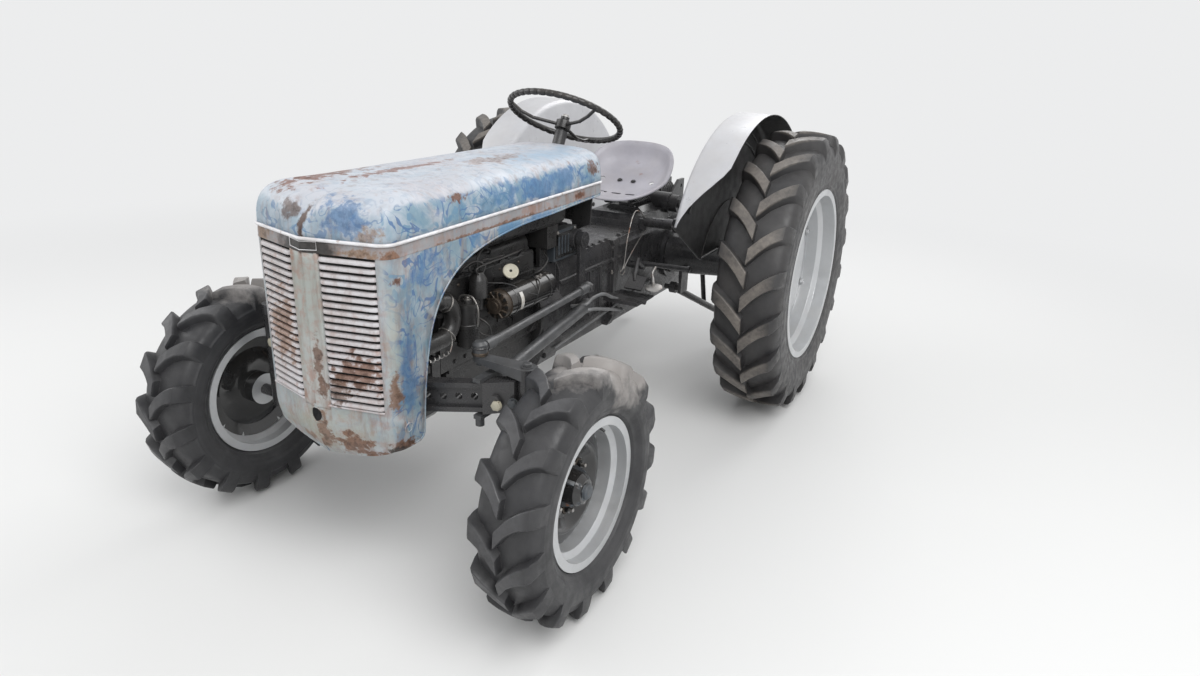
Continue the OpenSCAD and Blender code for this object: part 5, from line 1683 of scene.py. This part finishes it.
@dataclass
class Engine:
    """The engine with its dynamo, filter, ignition, hoses, wires and bolts."""

    half: float = 118.0
    front_y: float = -1640.0
    clutch_y: float = -1130.0
    head_top: float = 850.0
    cover_top: float = 905.0
    sump_z: float = 560.0
    dynamo: Pair = (172.0, 738.0)
    dynamo_bands: Tuple[Tuple[float, float, float, float, float], ...] = (
        (-1400, -1391, 1, 50.6, 51.6), (-1196, -1178, 1, 50.4, 53), (-1290, -1280.5, 0.5, 50.4, 51.8),
    )
    dynamo_sweep: float = math.degrees(0.2)
    brass_end: float = -1408.0
    spark: Point = (148.0, -1520.0, 862.0)
    filter_at: Pair = (154.0, -1585.0)
    hose_bend: Point = (150.0, -1715.0, 752.0)
    wires: Tuple[Tuple[float, Tuple[Point, ...]], ...] = (
        (3.6, ((148, -1520, 860), (150, -1524, 906), (136, -1470, 926), (110, -1400, 900), (90, -1380, 880))),
        (2.6, ((168, -1224, 790), (186, -1200, 806), (176, -1150, 826), (140, -1120, 838), (118, -1080, 842))),
        (2.4, ((176, -1250, 790), (214, -1262, 776), (222, -1285, 738), (205, -1290, 700), (172, -1280, 686))),
        (2.4, ((222, -1285, 738), (214, -1340, 760), (178, -1390, 794), (146, -1420, 800), (120, -1440, 800))),
        (3.0, ((118, -1500, 660), (150, -1490, 640), (168, -1440, 630), (176, -1380, 640), (150, -1330, 650),
               (119, -1310, 650))),
        (3.0, ((119, -1560, 700), (150, -1542, 716), (190, -1530, 700), (200, -1524, 660), (190, -1530, 620),
               (150, -1540, 606))),
    )

    def castings(self) -> None:
        """Rounded castings in satin black; the front end of the dynamo is bare brass."""
        for node in ("engine_block", "engine_sump", "engine_ancillaries", "fan_and_belt", "battery_box", "dash_panel"):
            carried(node, ENGINE_BLACK)
        carried("fuel_tank", ENGINE_BLACK, bevel=6.0, steps=3)
        carried("exhaust_pipe", RUSTY_PIPE)
        carried("radiator", MESH_BLACK)
        carried("dynamo", GLOSS_BLACK, BRASS, rule=lambda middle, normal: int(middle.y < self.brass_end), bevel=2.5)

    def bolts(self) -> None:
        """Bolt heads on sump flange, head, covers and timing case."""
        form = Form("engine_bolts", ENGINE_BLACK)
        front = self.front_y
        for s in (1, -1):
            way = (s, 0, 0)
            form.bolts([(s * (self.half - 1), front + 30 + 54 * i, self.sump_z + 22) for i in range(9)], way, 7, 6)
            form.bolts([(s * (self.half - 7), front + 30 + 54 * i, self.sump_z - 7) for i in range(9)], way, 6, 6)
            form.bolts([(s * 100, front + 20 + 84 * i, self.head_top - 4) for i in range(6)], (0, 0, 1), 9, 9)
            form.bolts([(s * self.half, front + back, 720) for back in (60, 220, 290, 440)], way, 7, 6)
            form.bolts([(s * x, front - 40, z) for x, z in ((100, 600), (104, 660), (70, 760), (30, 785))],
                       (0, -1, 0), 7, 6)
            form.bolts([(s * x, self.clutch_y - 18, z) for x, z in ((136, 590), (136, 650), (110, 745))],
                       (0, -1, 0), 8, 8)
        form.bolts([(0, y, self.cover_top - 2) for y in (-1560, -1380, -1200)], (0, 0, 1), 10, 12)
        form.build(sharp=40)

    def dress_dynamo(self) -> None:
        """The dynamo's slotted brass end, bands, plain label and terminals."""
        x, z = self.dynamo
        form = Form("dynamo_dress", GLOSS_BLACK, BRASS, LABEL_WHITE, BARE_STEEL, PAINTED_HOLE_SHADE).at((x, 0, z))
        for low, high, slant, foot, r in self.dynamo_bands:
            form.turned([(low, foot), (low + slant, r), (high - slant, r), (high, 50.4)], Axis.Y, 40, ring=True)
        form.turned([(-1462, 0), (-1462, 16), (-1458, 20), (-1454, 22)], Axis.Y, 28, 1)
        for i in range(10):
            (near_x, near_z), (far_x, far_z) = polar(22, 36 * i), polar(46, 36 * i + self.dynamo_sweep)
            form.tube([(near_x, -1457, near_z), (far_x, -1456, far_z)], 3.2, 8, 1)
        arc = [polar(51.2, a) for a in range(-34, 40, 6)]
        form.skin([[(px, y, pz) for y in (-1384, -1366)] for px, pz in arc], 2, closed=False)
        form.bolts([(22, y, 46) for y in (-1250, -1228)], (0.4, 0, 0.9), 6, 10, 3)
        # The ten dark discs on the brass end are painted shade standing for its holes.
        for i in range(10):
            px, pz = polar(40, 36 * i)
            form.at((x + px, -1455, z + pz)).turned([(-3, 6.5), (1, 6.5)], Axis.Y, 12, 4)
        form.build(sharp=35)

    def caps(self) -> None:
        """The cream filler cap over the dynamo, the oil cap and the filter's bail."""
        form = Form("filler_caps", CREAM, PAINTED_HOLE_SHADE, ENGINE_BLACK, BARE_STEEL)
        form.at((178, -1382, 836), x=34, y=39)
        form.turned([(-30, 11), (-4, 11), (-3, 22), (-1, 26), (4, 26.5), (6, 25), (6.4, 21), (5.6, 19), (5.6, 0)],
                    Axis.Z, 36)
        # The small dark disc on the cap's top is painted shade standing for a hole.
        form.turned([(5, 5), (6.6, 4.5), (6.6, 0)], Axis.Z, 16, 1)
        form.at().wire([(118, -1377, 790), (150, -1377, 800), (172, -1376, 818)], 14, 16, 2)
        form.at((*self.filter_at, 0)).turned([(700, 36.4), (702, 38), (712, 38), (714, 36.4)], Axis.Z, 36, 2, ring=True)
        form.turned([(779, 15), (788, 14), (790, 10), (790, 0)], Axis.Z, 20, 2)
        form.bolt((0, 0, 789), (0, 0, 1), 9, 10, 3)
        form.wire([(x, 0, z) for x, z in ((38, 706), (42, 760), (24, 796), (0, 802), (-24, 796), (-36, 776))], 3, 8, 3)
        form.build(sharp=35)

    def leads(self) -> None:
        """Plug leads, coil wire, dynamo wires and fuel pipe."""
        form = Form("engine_wires", RUBBER_HOSE, BRASS)
        x, y, z = self.spark
        for i in range(4):
            px, py = polar(1.0, 45 + 90 * i)
            plug = -1570 + 112 * i
            form.at().wire([(x + 16 * px, y + 16 * py, z - 6), (x + 22 * px, y + 22 * py, z + 20),
                            (150 + 6 * i, -1540 + 62 * i, 900 - 4 * i), (132, plug - 12, 876), (108, plug, 850),
                            (104, plug, 838)], 3.4)
            form.at((104, plug, 820)).turned([(0, 9), (8, 9), (9, 6), (20, 5.5), (22, 3)], Axis.Z, 12, 1)
        form.at()
        for radius, route in self.wires:
            form.wire(route, radius)
        form.build(sharp=180)

    def hoses(self) -> None:
        """Clamps on the radiator's lower hose, and its upper hose."""
        form = Form("hose_clamps", BARE_STEEL, RUBBER_HOSE).at(self.hose_bend)
        for angle in (-58, 62):
            ring = []
            for k in range(29):
                along, across = polar(28.2, 360 * k / 28)
                ring.append((across, *polar(60 + along, angle)))
            form.tube(ring, 2.6, 8, ends=False)
        route = [(0, -1890, 1060), (0, -1840, 1056), (0, -1800, 1010), (0, -1770, 940), (0, -1740, 880)]
        form.at().tube(smooth_path(route, 8), 22, 20, 1)
        form.build(sharp=180)

    def regulator(self) -> None:
        """The slate box with cooling slots behind the engine, and its cable."""
        form = Form("regulator_box", SLATE, GLOSS_BLACK, BARE_STEEL)
        form.block((100, -1060, 790), (146, -900, 902))
        # The gloss black plate under the slats is painted shade for the cooling slots between them; no opening is cut.
        form.block((146, -1050, 800), (150, -910, 892), 1)
        for i in range(6):
            form.block((149, -1036 + 22 * i, 812), (151.5, -1026 + 22 * i, 880))
        form.bolts([(150, y, 896) for y in (-1040, -920)], (1, 0, 0), 5, 4, 2)
        form.wire([(124, -905, 880), (132, -880, 884), (140, -862, 860), (136, -850, 820), (120, -846, 800)], 5, 10, 1)
        form.build(bevel=2.0)

    def build(self) -> None:
        """Builds the engine bay."""
        self.castings()
        self.bolts()
        self.dress_dynamo()
        self.caps()
        self.leads()
        self.hoses()
        self.regulator()


# chassis, steering and axle


def coil(middle: Pair, radius: float, start: float, pitch: float, steps: int, turn: float) -> List[Point]:
    """The line of a coil spring along the tractor, from x and z of its middle; turn is the steps in one turn."""
    circle = [polar(radius, 360 * k / turn) for k in range(steps)]
    return [(middle[0] + x, start + pitch * k / turn, middle[1] + z) for k, (x, z) in enumerate(circle)]


@dataclass
class Chassis:
    """Gearbox, centre housing, axle and steering parts with their bolts, rods and springs."""

    case_half: float = 150.0
    case_top: float = 778.0
    kingpin_x: float = 505.0
    ball_x: float = 345.0
    axle_y: float = -1778.0
    balls: Tuple[Point, ...] = ((220, -547, 518), (220, -639, 505))
    rods: Tuple[Tuple[Point, ...], ...] = (
        ((152, -938, 590), (188, -935, 600), (214, -925, 608), (220, -888, 622), (220, -800, 616), (220, -700, 572),
         (220, -552, 520)),
        ((152, -925, 574), (190, -922, 578), (216, -908, 580), (220, -860, 570), (220, -740, 536), (220, -645, 507)),
    )
    loop: Tuple[Point, ...] = (
        (160, -228, 775), (163, -300, 816), (165, -428, 880), (168, -500, 780), (170, -530, 664), (166, -552, 640),
        (164, -535, 620), (163, -506, 632), (163, -500, 660), (161, -380, 740), (156, -260, 790),
    )

    def castings(self) -> None:
        """The castings and forgings, with rounded edges."""
        for node in ("gearbox_housing", "centre_housing", "axle_trumpets", "steering_box", "front_bolster",
                     "axle_extensions"):
            carried(node, CHASSIS_BLACK, bevel=4.0, steps=3)
        for node in ("front_axle_beam", "fender_stays", "footrests", "pedals_and_levers", "top_link_bracket",
                     "seat_spring", "lift_arms", "lift_rod_left", "lift_rod_right", "lower_link_left",
                     "lower_link_right"):
            carried(node, CHASSIS_BLACK)
        carried("power_shaft", BARE_STEEL)
        carried("radius_rods", ROD_GREY)
        for side in Side:
            carried(f"drop_arm_{side.word}", CHASSIS_BLACK, bevel=3.0)
            carried(f"drag_link_{side.word}", ROD_GREY)
            carried(f"knuckle_{side.word}", CHASSIS_BLACK, ROD_GREY, rule=self.arm_rule)

    @staticmethod
    def arm_rule(middle: Vector, normal: Vector) -> int:
        """The steering arm, above the kingpin and inside it, is grey like the rods."""
        return int(abs(middle.x) < 480 and middle.z > 660)

    def bolts(self) -> None:
        """Bolt heads on the housings' flanges, covers and trumpets."""
        form = Form("chassis_bolts", CHASSIS_BLACK)
        flank, top = self.case_half + 0.5, self.case_top + 0.5
        for s in (1, -1):
            way = (s, 0, 0)
            form.bolts([(s * (self.case_half - 12), -1112, z) for z in range(440, 741, 60)], (0, 1, 0), 9, 9)
            form.bolts([(s * flank, y, z) for z in (470, 540, 700, 750) for y in (-600, -540)], way, 8, 7)
            for radius, x, turn in ((78, 158, 1), (118, 496, -1)):
                circle = [polar(radius, 45 * k + 22) for k in range(8)]
                form.bolts([(s * x, y, 611 + z) for y, z in circle], (s * turn, 0, 0), 9, 10)
            form.bolts([(s * 76, y, top) for y in range(-1020, -839, 60)], (0, 0, 1), 8, 8)
            form.bolts([(s * 104, -925 + y, 847 + z) for y, z in (polar(48, 60 * k) for k in range(6))], way, 6, 6)
            form.bolts([(s * 112, y, top) for y in (-740, -700, -640, -590, -480, -420)], (0, 0, 1), 9, 8)
        form.build(sharp=40)

    def control_rods(self) -> None:
        """The bent rods with balls, the long thin rod and the wire loop."""
        form = Form("control_rods", BENT_ROD, BARE_STEEL)
        for route, ball in zip(self.rods, self.balls):
            form.at().wire(route, 6.5, 12)
            form.at(ball).turned([(-11, 0), (-8, 8), (0, 11), (8, 8), (11, 0)], Axis.Y, 18)
        form.at().tube([(152, -1056, 454), (152, -900, 466), (152, -500, 497), (151, -220, 517)], 5, 10)
        form.wire(self.loop, 2.2, 8, 1)
        form.build(sharp=180)

    def beam_dress(self) -> None:
        """The axle beam's pale bolts, and the front's small spring with its hook and rod."""
        form = Form("small_rods", CHASSIS_BLACK, BARE_STEEL, CREAM, SLATE)
        for s in (1, -1):
            form.bolt((s * 444, -1838, 601), (s * 0.23, -1, 0), 15, 12, 2, 1.05)
        form.bolt((489, -1824, 612), (0.23, -1, 0), 12, 10, 3)
        form.tube(coil((208, 676), 6, -1838, 6.4 * math.pi, 60, 4 * math.pi), 1.4, 6, 1)
        form.wire([(208, -1742, 676), (200, -1720, 700), (196, -1724, 730), (206, -1736, 738), (212, -1726, 722)],
                  2.0, 8, 1)
        form.tube([(208, -1838, 682), (150, -1850, 690), (148, -1852, 668)], 3, 8, 1)
        form.build(sharp=40)

    def ball_joints(self) -> None:
        """Ball-joint caps and boots on the drag links, and the nuts of the steering arms."""
        for side in Side:
            s = side.value
            form = Form(f"ball_joints_{side.word}", BRASS, CHASSIS_BLACK).at((s * self.ball_x, self.axle_y, 729.2))
            form.turned([(14.5, 15), (18, 13), (21, 9), (21, 0)], Axis.Z, 24)
            form.turned([(-18, 23.2), (-14, 24.5), (-9, 23.2)], Axis.Z, 28, ring=True)
            form.turned([(2, 23), (5, 24.6), (8, 23)], Axis.Z, 28, 1, ring=True)
            form.at((s * 216, -925, 674))
            form.turned([(s * 17, 16), (s * 23, 14), (s * 26, 8), (s * 26, 0)], Axis.X, 24, 1)
            form.build(f"drag_link_{side.word}", sharp=40)
            arm = Form(f"arm_nuts_{side.word}", ROD_GREY)
            arm.bolt((s * self.kingpin_x, self.axle_y, 708), (0, 0, 1), 14, 13)
            arm.bolt((s * self.ball_x, self.axle_y, 692), (0, 0, -1), 12, 14)
            arm.build(f"knuckle_{side.word}", sharp=40)

    def springs(self) -> None:
        """The seat's coil spring and the draught control's rod and spring."""
        form = Form("seat_coil", CHASSIS_BLACK, BARE_STEEL)
        form.tube(coil((46, 862), 17, -70, -6.2 * math.pi, 112, 14), 3.4, 8)
        form.tube([(46, -60, 862), (46, -232, 862)], 6, 12)
        form.tube(coil((0, 868), 30, 122, 6.8 * math.pi, 128, 16), 5, 8)
        form.tube([(0, 90, 868), (0, 318, 868)], 9, 14, 1)
        form.at((0, 0, 868)).turned([(114, 36), (116, 38), (122, 38), (124, 36)], Axis.Y, 30, ring=True)
        form.build(sharp=50)

    def trim(self) -> None:
        """The cross bar, the small silver pedal and its stalk, and grease nipples."""
        form = Form("foot_trim", CHASSIS_BLACK, BARE_STEEL)
        form.tube([(152, -402, 642), (240, -400, 650), (412, -400, 656)], 11, 16)
        form.at((412, -400, 656)).turned([(-4, 14), (4, 14), (6, 11)], Axis.X, 20)
        form.at().wire([(268, -420, 646), (290, -500, 640), (322, -560, 636), (340, -590, 622)], 6, 12, 1)
        form.at((344, -596, 612), x=12)
        form.turned([(-5, 0), (-5, 30), (-2, 35), (2, 35), (4, 31), (4, 0)], Axis.Z, 28, 1)
        for place in ((150, -866, 622), (150, -600, 640), (-150, -866, 622)):
            form.at(place).turned([(0, 5), (8, 5), (9, 3), (14, 3.6), (17, 2)], Axis.Z, 10, 1)
        form.build(sharp=45)

    def build(self) -> None:
        """Builds the chassis."""
        self.castings()
        self.bolts()
        self.control_rods()
        self.beam_dress()
        self.ball_joints()
        self.springs()
        self.trim()


@dataclass
class HandWheel:
    """The steering wheel: rim with finger grips, spokes from the CAD form, and a centre nut."""

    centre: Point = (0.0, -750.0, 1275.0)
    tilt: float = 28.0
    rim_r: float = 216.0
    grip: float = 11.0
    grips: int = 44
    grip_steps: int = 8

    def build(self) -> None:
        """Builds the hand wheel."""
        carried("steering_wheel", WHEEL_BLACK, bevel=1.0)
        form = Form("wheel_grips", WHEEL_BLACK, BARE_STEEL).at(self.centre, x=-self.tilt)
        for k in range(self.grips):
            path, radii = [], []
            for share in (j / self.grip_steps for j in range(self.grip_steps + 1)):
                path.append((*polar(self.rim_r + 1.4, 360 / self.grips * (k + 0.06 + 0.88 * share)), -1.5))
                radii.append(self.grip - 0.6 + 1.9 * math.sin(math.pi * share) ** 0.7)
            form.tube(path, 0, 14, radii=radii)
        form.bolt((0, 0, -3), (0, 0, 1), 13, 12, 1)
        form.build("steering_wheel", sharp=60)


# fenders and seat


@dataclass
class Fenders:
    """The two rear fenders: silver outside, black inside, with stiffening ribs and a plate above the axle."""

    wall_x: float = 433.0
    centre: Pair = (-30.0, 598.0)
    radius: float = 684.0
    plate_r: float = 303.0
    lower: Tuple[Pair, ...] = (
        (-655, 890), (-640, 882), (-352, 700), (-326, 689), (322, 689), (352, 700), (642, 710),
    )
    bolts: Tuple[Pair, ...] = ((-300, 726), (-150, 726), (120, 726), (280, 726), (-480, 826), (-400, 778))

    def arc(self, radius: float, start: int, end: int, step: int) -> List[Pair]:
        """Points of an arc about the fender's centre, between two angles in degrees."""
        turns = (polar(radius, a) for a in range(start, end, step))
        return [(self.centre[0] + y, self.centre[1] + z) for y, z in turns]

    def one(self, side: Side) -> None:
        """Builds one fender.

        Args:
            side: the fender's side.
        """
        s = side.value

        def rule(middle: Vector, normal: Vector) -> int:
            """Silver on the crown's top and the driver's side, black inside."""
            out = Vector((0, middle.y - self.centre[0], middle.z - self.centre[1])).normalized()
            return 0 if normal.x * s < -0.3 or normal.dot(out) > 0.25 else 1

        carried(f"fender_{side.word}", FENDER_SILVER, FENDER_BLACK, rule=rule, bevel=0.8)
        form = Form(f"fender_trim_{side.word}", FENDER_SILVER, FENDER_BLACK, CHASSIS_BLACK)
        for stand, inset, start, radius, steps in ((4, 118, 10, 6.5, 10), (2, 60, 14, 4, 8)):
            rib = self.arc(self.radius - inset, start, 160 - start, 4)
            form.tube([(s * (self.wall_x + stand), y, z) for y, z in rib], radius, steps, 1)
        form.tube([(s * (self.wall_x - 1.5), y, z) for y, z in self.lower], 3.4, 8, 1)
        form.prism(self.arc(self.plate_r, 20, 161, 5), s * (self.wall_x + 0.2), s * (self.wall_x + 2.6), finish=1)
        form.bolts([(s * (self.wall_x - 3), y, z) for y, z in self.bolts], (-s, 0, 0), 9, 7, 2)
        form.build(sharp=45)

    def build(self) -> None:
        """Builds both fenders."""
        for side in Side:
            self.one(side)


@dataclass
class Seat:
    """The pressed seat pan with its rolled rim."""

    at: Point = (0.0, -205.0, 955.0)
    slope: float = 22.0
    half: float = 200.0
    half_len: float = 195.0
    corner: float = 2.6
    rim_share: float = 1.042
    rim_r: float = 6.0
    lip: float = 30.0
    lip_back: float = 62.0
    rim_steps: int = 72

    def rim_path(self) -> List[Point]:
        """The rim's line in the seat's own frame.

        Returns:
            Its points; the last meets the first.
        """
        path = []
        for k in range(self.rim_steps + 1):
            cos, sin = polar(1.0, 360 * k / self.rim_steps)
            r = (abs(cos) ** self.corner + abs(sin) ** self.corner) ** (-1 / self.corner) * self.rim_share
            narrow = 1 - 0.24 * max(0.0, -sin) ** 1.4
            z = self.lip + self.lip_back * ease(sin + 0.15)
            path.append((r * cos * narrow * self.half, r * sin * self.half_len, z))
        return path

    def build(self) -> None:
        """Builds the seat."""
        carried("seat_pan", SEAT_GREY, bevel=0.8)
        rim = Form("seat_rim", SEAT_GREY).at(self.at, x=self.slope)
        rim.tube(self.rim_path(), self.rim_r, 12, ends=False).build(sharp=180)
        form = Form("seat_bolts", CHASSIS_BLACK).at(self.at, x=self.slope)
        form.bolts([(-34, 8, 2.5), (34, 8, 2.5)], (0, 0, 1), 9, 6)
        form.build(sharp=40)


# studio


@dataclass
class Studio:
    """The camera at the photograph's place, a pale floor and soft lamps."""

    camera_place: Point = (1.63564, -3.49435, 1.56379)
    yaw: float = 27.87
    pitch: float = -20.44
    roll: float = 2.06
    focal: float = 804.51
    picture_width: float = 1200.0
    floor_colour: Rgb = (0.76, 0.76, 0.75)
    backdrop: Rgb = (0.84, 0.845, 0.85)
    sky: Rgb = (0.93, 0.94, 0.96)
    sky_strength: float = 0.62
    fade: Pair = (2.0, 6.0)
    lamp_size: float = 4.0
    aim: Point = (0.0, 0.0, 0.5)
    lamps: Tuple[Tuple[str, Point, float], ...] = (
        ("key", (3.2, -2.6, 4.6), 210.0), ("fill", (-4.2, -2.2, 3.6), 90.0), ("back", (0.6, 4.6, 4.4), 110.0),
    )

    def build(self) -> None:
        """Places camera, floor, lamps and world."""
        self.camera()
        self.floor()
        self.hang_lamps()
        self.world()

    def camera(self) -> None:
        """Sets the camera from the fitted place and angles."""
        data = bpy.data.cameras.new("camera")
        data.sensor_width = 36.0
        data.lens = self.focal / self.picture_width * data.sensor_width
        data.clip_end = 200.0
        yaw, pitch, roll = (math.radians(a) for a in (self.yaw, self.pitch, self.roll))
        ahead = Vector((-math.sin(yaw) * math.cos(pitch), math.cos(yaw) * math.cos(pitch), math.sin(pitch)))
        right = Vector((math.cos(yaw), math.sin(yaw), 0.0))
        up = right.cross(ahead)
        turned_right = right * math.cos(roll) + up * math.sin(roll)
        turned_up = up * math.cos(roll) - right * math.sin(roll)
        camera = placed("camera", data)
        turn = Matrix((turned_right, turned_up, -ahead)).transposed().to_4x4()
        x, y, z = self.camera_place
        camera.matrix_world = Matrix.Translation((x, y + AXLE_Y, z)) @ turn
        bpy.context.scene.camera = camera

    def floor(self) -> None:
        """Lays the pale floor, which fades to the backdrop."""
        mesh = bpy.data.meshes.new("floor")
        bm = bmesh.new()
        bmesh.ops.create_grid(bm, x_segments=8, y_segments=8, size=60.0)
        bm.to_mesh(mesh)
        bm.free()
        material = bpy.data.materials.new("pale floor")
        material.use_nodes = True
        w = Wiring(material.node_tree)
        shader = material.node_tree.nodes["Principled BSDF"]
        w.feed(shader, "Base Color", self.floor_colour)
        w.feed(shader, "Roughness", 0.9)
        far = w.add("Emission", None, Color=self.backdrop, Strength=1.0)
        away = w.span(w.measure("LENGTH", w.place()), *self.fade)
        both = w.add("MixShader", None, away, shader.outputs[0], far.outputs[0])
        w.feed(material.node_tree.nodes["Material Output"], "Surface", both.outputs[0])
        mesh.materials.append(material)
        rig.stage(placed("floor", mesh))

    def hang_lamps(self) -> None:
        """Hangs three large soft lamps."""
        for name, place, power in self.lamps:
            data = bpy.data.lights.new(name, "AREA")
            data.shape = "SQUARE"
            data.size = self.lamp_size
            data.energy = power
            lamp = placed(name, data)
            lamp.location = place
            lamp.rotation_mode = "QUATERNION"
            lamp.rotation_quaternion = (Vector(place) - Vector(self.aim)).to_track_quat("Z", "Y")

    def world(self) -> None:
        """Gives an even sky that the camera sees as a pale backdrop."""
        world = bpy.data.worlds.new("even sky")
        world.use_nodes = True
        w = Wiring(world.node_tree)
        rays = w.add("LightPath").outputs
        shown = rays["Is Camera Ray"]
        for ray in ("Is Glossy Ray", "Is Transmission Ray"):
            shown = w.math("MAXIMUM", shown, rays[ray])
        background = world.node_tree.nodes["Background"]
        w.feed(background, "Color", w.mix(shown, self.sky, self.backdrop))
        w.feed(background, "Strength", w.span(shown, 0.0, 1.0, self.sky_strength, 1.0))
        bpy.context.scene.world = world
        bpy.context.scene.view_settings.view_transform = "Standard"


def main() -> None:
    """Builds the studio and the tractor, piece by piece."""
    logging.basicConfig(level=logging.INFO, format="%(message)s")
    Studio().build()
    for part in (Bonnet(), NoseSkin(), Wheels(), Engine(), Chassis(), HandWheel(), Fenders(), Seat()):
        part.build()
        log.info("%s built", type(part).__name__)
    with open("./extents.json", "w", encoding="utf-8") as out:
        json.dump({"cad": CAD_BOX, "dressed": [list(corner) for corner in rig.bounds()]}, out)


if __name__ == "__main__":
    main()
